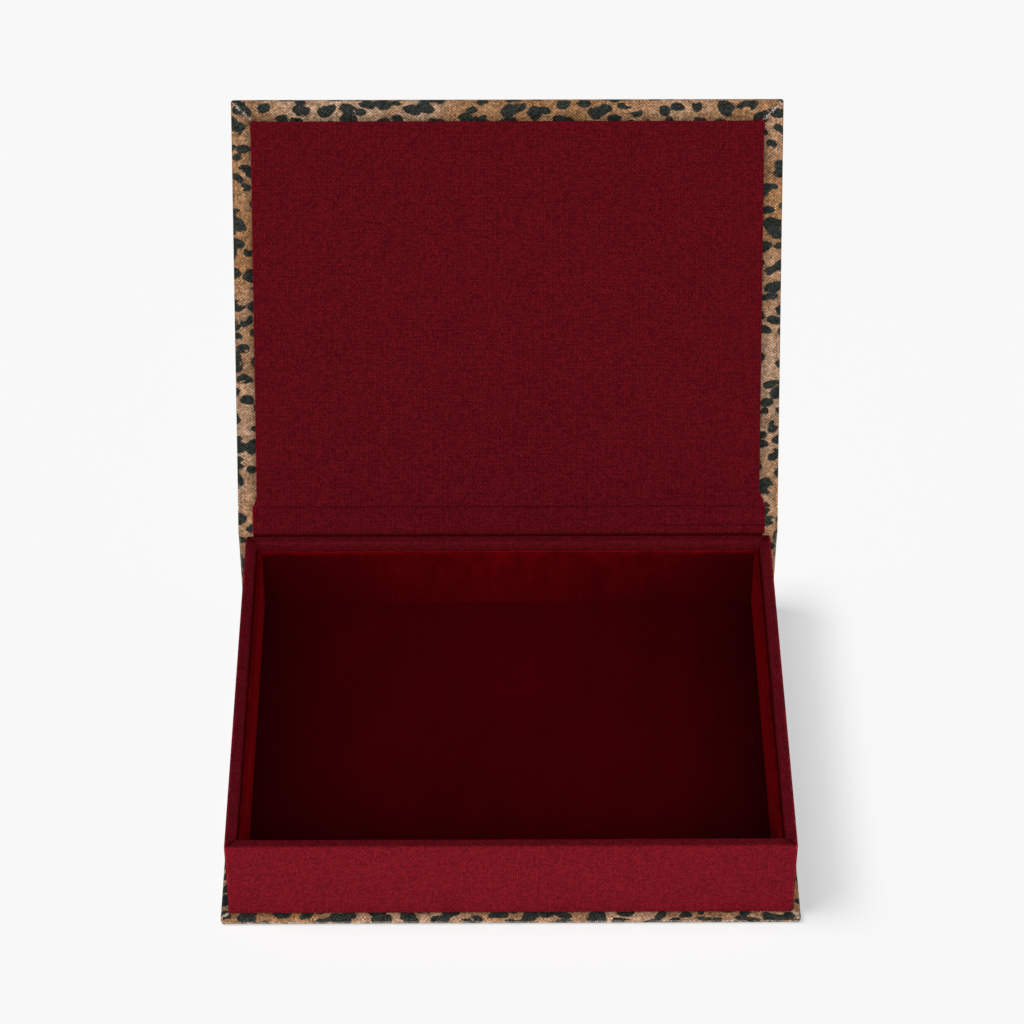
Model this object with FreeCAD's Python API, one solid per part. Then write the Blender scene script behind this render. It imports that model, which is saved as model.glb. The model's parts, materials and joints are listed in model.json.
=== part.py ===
import FreeCAD, Part
import math
import os

# A book box: a case of three cloth-covered boards (lid, spine and base) with a lined tray
# glued to the base. Millimetres. X runs across the box, Y from front to back, Z up.
# The origin is the middle of the base's underside. The lid stands open.

# Tray, measured over its cloth
tray_width = 243.2
tray_depth = 195.4
tray_height = 41.4
wall_board = 4.0
floor_board = 3.2
tray_cloth = 0.5
inner_flap = 14.0  # cloth turned down inside the walls
bottom_flap = 12.0  # cloth turned under the walls and floor
tray_corner_round = 1.0
rim_round = 0.8
rim_slit = 0.25  # width of the mitre cut at each corner of the rim

# Case: the lid and the base are the same size, and the spine stands behind the tray
square = 3.4  # how far the covers reach past the tray in front and at the sides
cover_board = 3.2
cover_cloth = 0.5
turn_in = 16.0  # cloth turned over the edges onto the inner face
cover_round = 0.7
mitre_slit = 0.3  # width of the mitre cut where two turn-ins meet
joint_gap = 10.8  # from the inner face of the spine to the back edge of each cover
spine_rise = 0.5  # the covered spine stands this much above the rim

# Lid joint
lid_angle = 120.0  # degrees open in the photograph, counted from shut
lid_gap = 0.5  # air between the shut lid and the rim
hinge_behind = 1.0  # hinge line behind the tray's back face
hinge_above = 1.25  # hinge line above the rim

# Velvet panels inside the tray
liner_card = 1.3
velvet_pile = 0.9
velvet_turn_in = 0.3  # the velvet behind a card is pressed flat
velvet_flap = 10.0  # width of that turned-in velvet
velvet_round = 0.6
liner_drop = 4.6  # from the rim down to the top of the panels
liner_play = 0.15  # between one panel and the next

# Raised lining on the inside of the lid
lining_card = 1.4
lining_cloth = 0.4
lining_turn_in = 12.0
lining_round = 0.35
lining_side_play = 0.4  # from the lining to the rim at each side, when shut
lining_front_play = 1.0  # the same at the front
lining_back_margin = 1.2  # from the lining to the back edge of the lid
tail_flare = 1.8  # the cloth over the joint is wider than the lining by this much at each side
tail_ear = 7.0  # length of the corners where it widens
tail_drop = 30.0  # depth of the cloth glued between spine and tray

overrun = 1.0  # every cut passes the face that it opens by this much
same_place = 1e-6  # two values closer than this are one

# Worked out from the sizes above
case_width = tray_width + 2 * square
cover_thick = cover_board + 2 * cover_cloth
rim_thick = wall_board + 2 * tray_cloth
rim_z = cover_thick + tray_height
cover_depth = square + tray_depth + lining_cloth - joint_gap
cover_front_y = -cover_depth / 2
cover_back_y = cover_depth / 2
tray_front_y = cover_front_y + square
tray_back_y = tray_front_y + tray_depth
tray_mid_y = (tray_front_y + tray_back_y) / 2
spine_inner_y = tray_back_y + lining_cloth
spine_top_z = rim_z + spine_rise
spine_bottom_z = cover_thick - cover_cloth
spine_height = spine_top_z - spine_bottom_z
board_z = cover_thick + tray_cloth
floor_top_z = board_z + floor_board
opening_width = tray_width - 2 * rim_thick
opening_depth = tray_depth - 2 * rim_thick
liner_thick = velvet_turn_in + liner_card + velvet_pile
liner_height = rim_z - liner_drop - floor_top_z
lining_thick = lining_card + 2 * lining_cloth
lining_width = opening_width - 2 * lining_side_play
lining_front_y = tray_front_y + rim_thick + lining_front_play
lining_back_y = cover_back_y - lining_back_margin
tail_width = lining_width + 2 * tail_flare
hinge_y = tray_back_y + hinge_behind
hinge_z = rim_z + hinge_above
tilt = math.radians(lid_angle - 90.0)

ORIGIN = FreeCAD.Vector(0, 0, 0)
X_AXIS = FreeCAD.Vector(1, 0, 0)
Y_AXIS = FreeCAD.Vector(0, 1, 0)
Z_AXIS = FreeCAD.Vector(0, 0, 1)


def block(x_span, y_span, z_span):
    """A box between two values along each axis."""
    sizes = [span[1] - span[0] for span in (x_span, y_span, z_span)]
    corner = FreeCAD.Vector(x_span[0], y_span[0], z_span[0])
    return Part.makeBox(sizes[0], sizes[1], sizes[2], corner)


def centred(width):
    """The span of a width about zero."""
    return (-width / 2, width / 2)


def about(middle, width):
    """The span of a width about a middle."""
    return (middle - width / 2, middle + width / 2)


def near(a, b):
    return math.isclose(a, b, abs_tol=same_place)


def rounded(solid, radius, chosen):
    """Round the edges of a solid whose bounding box passes the test."""
    edges = [edge for edge in solid.Edges if chosen(edge.BoundBox)]
    return solid.makeFillet(radius, edges)


def diagonal_slit(corner_x, corner_y, turn, length, width, z_span):
    """A thin upright block that runs from a corner in the direction of turn."""
    slit = block((0, length), centred(width), z_span)
    slit = slit.rotated(ORIGIN, Z_AXIS, turn)
    return slit.translated(FreeCAD.Vector(corner_x, corner_y, 0))


# Case boards and their cloth. A cover is drawn flat, with its inner face at z = 0, its outer
# face at z = cover_thick and its front towards -Y, and is then put in its place.


def cover_core(depth):
    """The board inside a cover."""
    width_span = centred(case_width - 2 * cover_cloth)
    depth_span = centred(depth - 2 * cover_cloth)
    return block(width_span, depth_span, (cover_cloth, cover_cloth + cover_board))


def cover_wrap(depth, turned_in_front):
    """The cloth round a cover's board, with its turn-ins, open in the middle of the inner face.
    The inner edge at a joint stays square, because the cloth runs on there."""
    half_width = case_width / 2
    half_depth = depth / 2
    slab = block(centred(case_width), centred(depth), (0, cover_thick))
    joint_edges = [half_depth] if turned_in_front else [half_depth, -half_depth]

    def is_free(box):
        on_inner_face = near(box.ZMax, 0)
        at_joint = any(near(box.YMin, y) and near(box.YMax, y) for y in joint_edges)
        return not (on_inner_face and at_joint)

    slab = rounded(slab, cover_round, is_free)
    front_margin = turn_in if turned_in_front else cover_cloth
    window = block(
        centred(case_width - 2 * turn_in),
        (-half_depth + front_margin, half_depth - cover_cloth),
        (-overrun, cover_cloth),
    )
    cloth = slab.cut(cover_core(depth)).cut(window)
    if turned_in_front:
        reach = (turn_in - cover_cloth) * math.sqrt(2) + overrun
        for side, turn in ((1, 135), (-1, 45)):
            corner_x = side * (half_width - cover_cloth)
            corner_y = -half_depth + cover_cloth
            slit_span = (-overrun, cover_cloth)
            slit = diagonal_slit(corner_x, corner_y, turn, reach, mitre_slit, slit_span)
            cloth = cloth.cut(slit)
    return cloth


def as_lid(shape):
    """Put a flat cover on the tray, inner face down, and swing it open."""
    shut = shape.translated(FreeCAD.Vector(0, 0, rim_z + lid_gap))
    return shut.rotated(FreeCAD.Vector(0, hinge_y, hinge_z), X_AXIS, -lid_angle)


def as_base(shape):
    """Lay a flat cover on the table, inner face up."""
    turned = shape.rotated(ORIGIN, Y_AXIS, 180)
    return turned.translated(FreeCAD.Vector(0, 0, cover_thick))


def as_spine(shape):
    """Stand a flat cover behind the tray, inner face to the front."""
    upright = shape.rotated(ORIGIN, X_AXIS, 90).rotated(ORIGIN, Z_AXIS, 180)
    middle_z = (spine_top_z + spine_bottom_z) / 2
    return upright.translated(FreeCAD.Vector(0, spine_inner_y, middle_z))


# The cloth over the joints. The lid's joint leaves the spine upright, bends through an arc and
# runs straight into the inner face of the lid.

lid_edge = as_lid(Part.Vertex(0, cover_back_y, 0)).Point
lid_run = (lid_edge.y - spine_inner_y) / math.sin(tilt)
corner_z = lid_edge.z - lid_run * math.cos(tilt)
bend_tangent = corner_z - spine_top_z
bend_radius = bend_tangent / math.tan(tilt / 2)


def joint_strip(low, high, x_span, past_lid_edge):
    """Cloth between two distances from the joint line, counted towards the inside of the box."""
    straight = lid_run - bend_tangent + past_lid_edge
    along = FreeCAD.Vector(0, math.sin(tilt), math.cos(tilt))

    def on_arc(offset, angle):
        radius = bend_radius + offset
        y = spine_inner_y + bend_radius - radius * math.cos(angle)
        return FreeCAD.Vector(x_span[0], y, spine_top_z + radius * math.sin(angle))

    sides = []
    for offset in (low, high):
        start = on_arc(offset, 0)
        end = on_arc(offset, tilt)
        tip = end + along * straight
        arc = Part.Arc(start, on_arc(offset, tilt / 2), end).toShape()
        line = Part.LineSegment(end, tip).toShape()
        sides.append((start, tip, arc, line))
    foot = Part.LineSegment(sides[0][0], sides[1][0]).toShape()
    head = Part.LineSegment(sides[0][1], sides[1][1]).toShape()
    outline = Part.Wire([sides[0][2], sides[0][3], head, sides[1][3], sides[1][2], foot])
    return Part.Face(outline).extrude(FreeCAD.Vector(x_span[1] - x_span[0], 0, 0))


def lid_joint_cloth():
    """Printed cloth, doubled where its edges are turned in at the two sides."""
    half_width = case_width / 2
    cloth = joint_strip(-cover_cloth, 0, centred(case_width), 0)
    for hem_span in ((-half_width, -half_width + turn_in), (half_width - turn_in, half_width)):
        hem = joint_strip(-2 * cover_cloth, -cover_cloth, hem_span, 0)
        cloth = cloth.fuse(hem)
    return cloth.removeSplitter()


def base_joint_cloth():
    """Printed cloth glued flat under the tray, from the base to the spine."""
    return block(
        centred(case_width),
        (cover_back_y, spine_inner_y),
        (cover_thick - cover_cloth, cover_thick),
    )


def joint_lining_cloth():
    """The tail of the lid's lining over the joint. Its corners widen beside the lining."""
    cloth = joint_strip(0, lining_cloth, centred(tail_width), lining_back_margin)
    half_lining = lining_width / 2
    for side in (1, -1):
        corners = [
            FreeCAD.Vector(side * half_lining, lining_back_y - tail_ear, -lining_cloth),
            FreeCAD.Vector(side * (half_lining + tail_flare), lining_back_y, -lining_cloth),
            FreeCAD.Vector(side * half_lining, lining_back_y, -lining_cloth),
        ]
        outline = Part.makePolygon(corners + corners[:1])
        ear = Part.Face(outline).extrude(FreeCAD.Vector(0, 0, lining_cloth))
        cloth = cloth.fuse(as_lid(ear))
    return cloth.removeSplitter()


def spine_lining_cloth():
    """The end of the tail, glued between the spine and the tray."""
    return block(
        centred(tail_width),
        (tray_back_y, spine_inner_y),
        (spine_top_z - tail_drop, spine_top_z),
    )


# Tray: four walls round a floor, and one cloth that wraps them.


def tray_walls():
    """The front and back walls run the whole width, and the side walls fit between them."""
    z_span = (board_z, rim_z - tray_cloth)
    front_span = (tray_front_y + tray_cloth, tray_front_y + tray_cloth + wall_board)
    back_span = (tray_back_y - tray_cloth - wall_board, tray_back_y - tray_cloth)
    half_width = tray_width / 2 - tray_cloth
    side_span = (front_span[1], back_span[0])
    return {
        "tray_front_wall": block((-half_width, half_width), front_span, z_span),
        "tray_back_wall": block((-half_width, half_width), back_span, z_span),
        "tray_left_wall": block((-half_width, -half_width + wall_board), side_span, z_span),
        "tray_right_wall": block((half_width - wall_board, half_width), side_span, z_span),
    }


def tray_floor_board():
    walls = wall_board + tray_cloth
    x_span = centred(tray_width - 2 * walls)
    y_span = about(tray_mid_y, tray_depth - 2 * walls)
    return block(x_span, y_span, (board_z, floor_top_z))


def tray_ring(outside, inside, z_span):
    """A square ring between two distances in from the tray's outer faces."""
    shapes = []
    for inset in (outside, inside):
        x_span = centred(tray_width - 2 * inset)
        y_span = about(tray_mid_y, tray_depth - 2 * inset)
        shapes.append(block(x_span, y_span, z_span))
    return shapes[0].cut(shapes[1])


def tray_wrap_cloth():
    """Up the outside, over the rim and down inside; turned under at the bottom. The cloth is
    mitred at the four corners of the rim."""
    bottom_z = cover_thick
    outside = block(centred(tray_width), about(tray_mid_y, tray_depth), (bottom_z, rim_z))
    outside = rounded(outside, tray_corner_round, lambda box: near(box.ZLength, tray_height))
    outside = rounded(outside, rim_round, lambda box: near(box.ZMin, rim_z))
    opening = block(
        centred(opening_width),
        about(tray_mid_y, opening_depth),
        (bottom_z + tray_cloth, rim_z + overrun),
    )
    cloth = outside.cut(opening)
    half_opening = opening_width / 2

    def is_inner_rim(box):
        inside = box.XMax < half_opening + tray_cloth and box.XMin > -half_opening - tray_cloth
        return near(box.ZMin, rim_z) and inside

    cloth = rounded(cloth, rim_round, is_inner_rim)
    cloth = cloth.cut(tray_ring(tray_cloth, tray_cloth + wall_board, (board_z, rim_z - tray_cloth)))
    bare_inside = tray_ring(tray_cloth + wall_board, rim_thick, (board_z, rim_z - inner_flap))
    cloth = cloth.cut(bare_inside)
    under = block(
        centred(tray_width - 2 * bottom_flap),
        about(tray_mid_y, tray_depth - 2 * bottom_flap),
        (bottom_z - overrun, board_z),
    )
    cloth = cloth.cut(under)
    reach = wall_board * math.sqrt(2)
    slit_span = (rim_z - tray_cloth, rim_z + overrun)
    for side_x, side_y, turn in ((1, 1, 45), (-1, 1, 135), (-1, -1, 225), (1, -1, 315)):
        corner_x = side_x * half_opening
        corner_y = tray_mid_y + side_y * opening_depth / 2
        cloth = cloth.cut(diagonal_slit(corner_x, corner_y, turn, reach, rim_slit, slit_span))
    return cloth


# Velvet panels. A wall panel is drawn with its back at y = 0 and its foot at z = 0.


def wall_panel(length):
    """A card and the velvet hooked over its top edge."""
    x_span = centred(length)
    card_span = (velvet_turn_in, velvet_turn_in + liner_card)
    card = block(x_span, card_span, (0, liner_height - velvet_pile))
    velvet = block(x_span, (0, liner_thick), (0, liner_height))

    def is_top_edge(box):
        return near(box.ZMin, liner_height) and near(box.XLength, length)

    velvet = rounded(velvet, velvet_round, is_top_edge)
    behind = block(x_span, (0, velvet_turn_in), (0, liner_height - velvet_flap))
    return card, velvet.cut(card).cut(behind)


def wall_panels():
    """The side panels run the whole depth, and the front and back panels fit between them."""
    side_length = opening_depth - 2 * liner_play
    end_length = opening_width - 2 * (liner_thick + liner_play)
    half_width = opening_width / 2
    half_depth = opening_depth / 2
    places = {
        "front": (end_length, 0, 0, tray_mid_y - half_depth),
        "back": (end_length, 180, 0, tray_mid_y + half_depth),
        "left": (side_length, -90, -half_width, tray_mid_y),
        "right": (side_length, 90, half_width, tray_mid_y),
    }
    panels = {}
    for name, (length, turn, x, y) in places.items():
        card, velvet = wall_panel(length)
        place = FreeCAD.Vector(x, y, floor_top_z)
        panels[name + "_liner_card"] = card.rotated(ORIGIN, Z_AXIS, turn).translated(place)
        panels[name + "_velvet"] = velvet.rotated(ORIGIN, Z_AXIS, turn).translated(place)
    return panels


def floor_panel():
    """The last panel to go in: velvet over a card, turned under all round."""
    width = opening_width - 2 * (liner_thick + liner_play)
    depth = opening_depth - 2 * (liner_thick + liner_play)
    top_z = floor_top_z + liner_thick
    velvet = block(centred(width), about(tray_mid_y, depth), (floor_top_z, top_z))
    velvet = rounded(velvet, velvet_round, lambda box: near(box.ZMin, top_z))
    card = block(
        centred(width - 2 * velvet_pile),
        about(tray_mid_y, depth - 2 * velvet_pile),
        (floor_top_z + velvet_turn_in, top_z - velvet_pile),
    )
    under = block(
        centred(width - 2 * velvet_flap),
        about(tray_mid_y, depth - 2 * velvet_flap),
        (floor_top_z - overrun, floor_top_z + velvet_turn_in),
    )
    return card, velvet.cut(card).cut(under)


# Lid lining, drawn on the flat cover: it stands proud of the inner face, towards -Z.


def lid_lining():
    """A card and the cloth wrapped over it, turned under in front and at the sides."""
    y_span = (lining_front_y, lining_back_y)
    face_z = -lining_thick
    cloth = block(centred(lining_width), y_span, (face_z, 0))
    cloth = rounded(cloth, lining_round, lambda box: near(box.ZMax, face_z))
    card = block(
        centred(lining_width - 2 * lining_cloth),
        (lining_front_y + lining_cloth, lining_back_y - lining_cloth),
        (face_z + lining_cloth, -lining_cloth),
    )
    under = block(
        centred(lining_width - 2 * lining_turn_in),
        (lining_front_y + lining_turn_in, lining_back_y - lining_cloth),
        (-lining_cloth, overrun),
    )
    return as_lid(card), as_lid(cloth.cut(card).cut(under))


nodes = {
    "lid_board": as_lid(cover_core(cover_depth)),
    "lid_cover_cloth": as_lid(cover_wrap(cover_depth, True)),
    "spine_board": as_spine(cover_core(spine_height)),
    "spine_cover_cloth": as_spine(cover_wrap(spine_height, False)),
    "base_board": as_base(cover_core(cover_depth)),
    "base_cover_cloth": as_base(cover_wrap(cover_depth, True)),
    "lid_joint_cloth": lid_joint_cloth(),
    "base_joint_cloth": base_joint_cloth(),
    "joint_lining_cloth": joint_lining_cloth(),
    "spine_lining_cloth": spine_lining_cloth(),
    "tray_floor_board": tray_floor_board(),
    "tray_wrap_cloth": tray_wrap_cloth(),
}
nodes.update(tray_walls())
nodes.update(wall_panels())
nodes["floor_liner_card"], nodes["floor_velvet"] = floor_panel()
nodes["lid_lining_card"], nodes["lid_lining_cloth"] = lid_lining()

os.makedirs("parts", exist_ok=True)
for name, shape in nodes.items():
    shape.exportStep(f"parts/{name}.step")
    solids = len(shape.Solids)
    print(f"{name}: {solids} solid, {shape.Volume:.0f} mm3, valid {shape.isValid()}")
print(f"hinge line at y {hinge_y:.2f}, z {hinge_z:.2f}; rim at z {rim_z:.2f}")
print(f"joint bends with a radius of {bend_radius:.2f} and runs {lid_run:.2f}")
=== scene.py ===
# %% [markdown]
# A cloth-covered book box, dressed for its portrait. A bookbinder makes such a box from greyboard:
# three boards joined by cloth (lid, spine and base), and a tray of four low walls glued to the base.
# The boards and cards come ready-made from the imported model. This lesson makes every cloth that
# covers them, because cloth is what the eye meets. Everything is in metres.

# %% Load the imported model
import json
import math
import random

import bmesh
import bpy
from mathutils import Matrix, Vector, noise


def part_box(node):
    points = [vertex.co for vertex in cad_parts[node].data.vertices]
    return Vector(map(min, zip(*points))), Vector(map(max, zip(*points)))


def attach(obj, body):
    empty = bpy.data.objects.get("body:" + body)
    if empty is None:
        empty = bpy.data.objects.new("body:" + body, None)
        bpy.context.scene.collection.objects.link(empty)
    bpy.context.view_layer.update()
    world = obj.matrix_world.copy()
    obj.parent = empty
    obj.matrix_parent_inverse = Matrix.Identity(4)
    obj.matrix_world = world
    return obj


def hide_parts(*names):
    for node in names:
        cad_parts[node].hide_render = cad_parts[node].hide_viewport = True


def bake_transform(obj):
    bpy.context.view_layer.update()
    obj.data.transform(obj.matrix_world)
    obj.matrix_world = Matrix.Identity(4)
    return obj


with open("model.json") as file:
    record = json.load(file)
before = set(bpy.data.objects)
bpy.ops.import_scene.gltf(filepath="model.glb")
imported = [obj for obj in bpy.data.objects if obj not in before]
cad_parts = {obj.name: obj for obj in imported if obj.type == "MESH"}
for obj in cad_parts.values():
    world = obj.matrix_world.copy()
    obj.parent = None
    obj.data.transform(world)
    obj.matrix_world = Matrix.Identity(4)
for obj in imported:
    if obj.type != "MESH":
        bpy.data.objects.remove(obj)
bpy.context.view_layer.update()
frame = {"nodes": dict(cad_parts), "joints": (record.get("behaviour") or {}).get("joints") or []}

# %% [markdown]
# The lid stands open, and a slanted panel is awkward to model. So each piece of the lid is made lying
# shut, with its edges along the axes, and is swung open at the end. The hinge line and the opening
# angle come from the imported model's only joint, whose lower limit is the shut lid.

# %% The hinge, and boxes of the lid's pieces as if it were shut
MM = 0.001
hinge = Vector(frame["joints"][0]["pos_m"])
opening = math.radians(-frame["joints"][0]["range_deg"][0])
swing_open = Matrix.Rotation(-opening, 3, "X")
swing_shut = Matrix.Rotation(opening, 3, "X")


def box_when_shut(node):
    """Lowest and highest corner of one of the lid's pieces, with the lid shut."""
    points = [hinge + swing_shut @ (v.co - hinge) for v in frame["nodes"][node].data.vertices]
    low = Vector([min(p[axis] for p in points) for axis in range(3)])
    high = Vector([max(p[axis] for p in points) for axis in range(3)])
    return low, high


lid_low, lid_high = box_when_shut("lid_cover_cloth")
print("shut lid, in mm:", [round(v / MM, 2) for v in lid_low], [round(v / MM, 2) for v in lid_high])

# %% [markdown]
# The camera looks down at the open box from the front with a long lens, as for a shop picture. Its
# place was worked out from the corners of the box in the photograph: a camera that sees the known
# corners where the photograph has them can only stand in one place.

# %% Camera
IMAGE_PIXELS = 1024
FOCAL_PIXELS = 3553.1
camera_place = Vector((-0.010185, -1.111242, 1.158707))
camera_pitch, camera_yaw, camera_roll = (math.radians(a) for a in (42.101, 0.563, 0.212))

camera = bpy.data.objects.new("camera", bpy.data.cameras.new("camera"))
bpy.context.scene.collection.objects.link(camera)
camera.data.lens = FOCAL_PIXELS / IMAGE_PIXELS * camera.data.sensor_width
aim = Matrix.Rotation(-camera_yaw, 4, "Z") @ Matrix.Rotation(math.pi / 2 - camera_pitch, 4, "X")
camera.matrix_world = Matrix.Translation(camera_place) @ aim @ Matrix.Rotation(camera_roll, 4, "Z")
bpy.context.scene.camera = camera
bpy.context.scene.view_settings.view_transform = "Standard"
print("camera: lens", round(camera.data.lens, 1), "mm, degrees down", round(math.degrees(camera_pitch), 1))

# %% [markdown]
# A material is a small machine of connected nodes. Each node and link could be typed out, but that soon
# hides the idea, so a few helpers keep the wiring readable: one adds a node and fills its sockets with
# values or links, one does arithmetic, and one starts a material with a matt shader.


# %% Helpers for wiring nodes
def fill(tree, socket, value):
    """Sets a socket to a value, or links another node's output to it."""
    if isinstance(value, bpy.types.NodeSocket):
        tree.links.new(value, socket)
    else:
        socket.default_value = value


def add_node(tree, kind, sockets=None, **settings):
    """Adds a node. sockets says what fills its inputs, by name or number."""
    node = tree.nodes.new(kind)
    for name, value in settings.items():
        setattr(node, name, value)
    for socket, value in (sockets or {}).items():
        fill(tree, node.inputs[socket], value)
    return node


def maths(tree, operation, first, second=0.0, third=0.0):
    """The result of a Math node."""
    sockets = {0: first, 1: second, 2: third}
    return add_node(tree, "ShaderNodeMath", sockets, operation=operation).outputs[0]


def fresh_material(name, finish):
    """An empty material with its output and a matt Principled shader. finish sets the shader."""
    material = bpy.data.materials.new(name)
    material.use_nodes = True
    tree = material.node_tree
    tree.nodes.clear()
    shader = add_node(tree, "ShaderNodeBsdfPrincipled", {"Roughness": 0.9, **finish})
    add_node(tree, "ShaderNodeOutputMaterial", {"Surface": shader.outputs["BSDF"]})
    return material, tree, shader


def colour(red, green, blue):
    """A colour picked in a paint program, from 0 to 255, as the linear light that shaders work in."""
    parts = [c / 255 for c in (red, green, blue)]
    return tuple(c / 12.92 if c <= 0.04045 else ((c + 0.055) / 1.055) ** 2.4 for c in parts) + (1.0,)


# %% [markdown]
# The box stands on a plain pale table. A diffuse floor alone would show every soft darkening round
# the box, while the portrait's table is clean except on the side away from the light. So what the
# camera sees of the floor is partly its own pale colour and partly what the lamps make of it.

# %% Floor
FLOOR_HALF = 4.0
FLOOR_DROP = 0.1 * MM
OWN_COLOUR_SHARE = 0.62
floor_pale = colour(248, 248, 248)

floor_mesh = bpy.data.meshes.new("floor")
bm = bmesh.new()
bmesh.ops.create_grid(bm, x_segments=1, y_segments=1, size=FLOOR_HALF)
bmesh.ops.translate(bm, verts=bm.verts, vec=(0, 0, -FLOOR_DROP))
bm.to_mesh(floor_mesh)
bm.free()
floor = bpy.data.objects.new("floor", floor_mesh)
bpy.context.scene.collection.objects.link(floor)


def seen_directly(tree):
    """1 where the camera looks at a surface, straight or by way of gloss or glass; else 0."""
    rays = add_node(tree, "ShaderNodeLightPath").outputs
    seen = maths(tree, "MAXIMUM", rays["Is Camera Ray"], rays["Is Glossy Ray"])
    return maths(tree, "MAXIMUM", seen, rays["Is Transmission Ray"])


floor_finish = {"Base Color": floor_pale, "Specular IOR Level": 0.0}
floor_material, tree, shader = fresh_material("pale_table", floor_finish)
own_light = add_node(tree, "ShaderNodeEmission", {"Color": floor_pale, "Strength": 1.0}).outputs[0]
share = maths(tree, "MULTIPLY", seen_directly(tree), OWN_COLOUR_SHARE)
both = add_node(tree, "ShaderNodeMixShader", {0: share, 1: shader.outputs["BSDF"], 2: own_light})
tree.links.new(both.outputs[0], tree.nodes["Material Output"].inputs["Surface"])
floor_mesh.materials.append(floor_material)
print("floor laid")

# %% [markdown]
# Round the table is a pale room. The camera sees it in the table's own colour, and it lights the box
# only faintly. Lamps do the rest, and light linking steers them: it lets a lamp skip chosen objects, or
# light only those.

# %% Room, and helpers for lamps
ROOM_LIGHT = 0.03
LAMP_DISTANCE = 2
box_middle = Vector((0, 0, 0.05))

world = bpy.data.worlds.new("soft_room")
bpy.context.scene.world = world
world.use_nodes = True
room = world.node_tree
backdrop = room.nodes["Background"].inputs
fill(room, backdrop["Color"], floor_pale)
fill(room, backdrop["Strength"], maths(room, "MAXIMUM", seen_directly(room), ROOM_LIGHT))


def linking(name, objects, state):
    """A collection for light linking, whose objects a lamp skips (EXCLUDE) or keeps to (INCLUDE)."""
    group = bpy.data.collections.new(name)
    for thing in objects:
        group.objects.link(thing)
    for entry in group.collection_objects:
        entry.light_linking.link_state = state
    return group


def add_lamp(name, kind, place, target, energy, **settings):
    """A lamp at a place, aimed at a target."""
    data = bpy.data.lights.new(name, kind)
    data.energy = energy
    for setting, value in settings.items():
        setattr(data, setting, value)
    lamp = bpy.data.objects.new(name, data)
    lamp.location = place
    lamp.rotation_euler = (Vector(target) - Vector(place)).to_track_quat("-Z", "Y").to_euler()
    bpy.context.scene.collection.objects.link(lamp)
    return lamp


def add_sun(name, left, height, energy, width):
    """A distant lamp. In degrees: to the left of the front, above the table, and how wide it looks."""
    side, up = math.radians(left), math.radians(height)
    flat = math.cos(up)
    place = Vector((-math.sin(side) * flat, -math.cos(side) * flat, math.sin(up))) * LAMP_DISTANCE
    return add_lamp(name, "SUN", place, box_middle, energy, angle=math.radians(width))


print("room ready, faint light", ROOM_LIGHT)

# %% [markdown]
# Studio light. Soft lamps on both sides and in front light the box, so that the walls of the tray shade
# its floor evenly; a low strip brightens the tray's front wall, a weak lamp the back of the box, and a
# lamp as wide as the sky stands for the pale room. The table has lamps of its own, a row of three on
# the left like one long softbox, which gives the soft shadow on the right.

# %% Lamps
BOX_SUNS = {
    "left_lamp": {"left": 62, "height": 36, "energy": 0.95, "width": 36},
    "right_lamp": {"left": -62, "height": 36, "energy": 0.8, "width": 36},
    "front_lamp": {"left": 0, "height": 36, "energy": 1.55, "width": 40},
    "room": {"left": 0, "height": 70, "energy": 0.4, "width": 175},
}
TABLE_SUNS = {66: 56, 81: 72, 95: 56}
TABLE_SUN_WIDTH = 20
TABLE_LIGHT = 0.98 * math.pi
off_the_table = linking("off_the_table", [floor], "EXCLUDE")
table_only = linking("table_only", [floor], "INCLUDE")

strip_form = {"shape": "RECTANGLE", "size": 0.7, "size_y": 0.08}
front_strip = add_lamp("front_strip", "AREA", (-0.03, -0.5, 0.07), (0, -0.09, 0.03), 2.3, **strip_form)
box_lamps = [add_sun(name, **values) for name, values in BOX_SUNS.items()]
disk_form = {"shape": "DISK", "size": 1.2}
box_lamps.append(add_lamp("back_lamp", "AREA", (0.3, 1.6, 0.9), (0, 0.1, 0.1), 14.0, **disk_form))
for lamp in box_lamps:
    lamp.light_linking.receiver_collection = off_the_table

table_lamps = []
for left, height in TABLE_SUNS.items():
    strength = TABLE_LIGHT / 3 / math.sin(math.radians(height))
    lamp = add_sun("table_lamp_" + str(left), left, height, strength, TABLE_SUN_WIDTH)
    lamp.light_linking.receiver_collection = table_only
    table_lamps.append(lamp)
print("lamps:", [lamp.name for lamp in [front_strip] + box_lamps + table_lamps])

# %% [markdown]
# Patterns need three more helpers. Noise is what makes a drawn pattern look like a made one: it bends,
# tints and roughens. It comes as numbers round 0.5, so two helpers move numbers and places about.


# %% Helpers for patterns
def vectors(tree, operation, first, second):
    """The result of a Vector Math node. To SCALE, second is a number, and else a vector."""
    sockets = {0: first, "Scale" if operation == "SCALE" else 1: second}
    return add_node(tree, "ShaderNodeVectorMath", sockets, operation=operation).outputs[0]


def spread(tree, value, low, high, to_low=0.0, to_high=1.0, smooth=False):
    """A value taken from one range to another, held at the ends."""
    kind = "SMOOTHSTEP" if smooth else "LINEAR"
    sockets = {"Value": value, "From Min": low, "From Max": high, "To Min": to_low, "To Max": to_high}
    return add_node(tree, "ShaderNodeMapRange", sockets, interpolation_type=kind).outputs["Result"]


def noise_over(tree, place, scale, detail, dimensions="2D"):
    """A Noise texture. Its output Fac is one number, and Color is three."""
    sockets = {"Vector": place, "Scale": scale, "Detail": detail}
    return add_node(tree, "ShaderNodeTexNoise", sockets, noise_dimensions=dimensions).outputs


# %% [markdown]
# Both book cloths are plain weaves: upright threads (the warp) pass over and under crosswise threads
# (the weft), one by one. Modelled threads would be far too many, so the weave is a pattern: a node group
# that both cloths share, each with its own thread spacing. First it counts the threads in both
# directions, on a plane that noise bends a little, because no thread runs quite straight.


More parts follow.
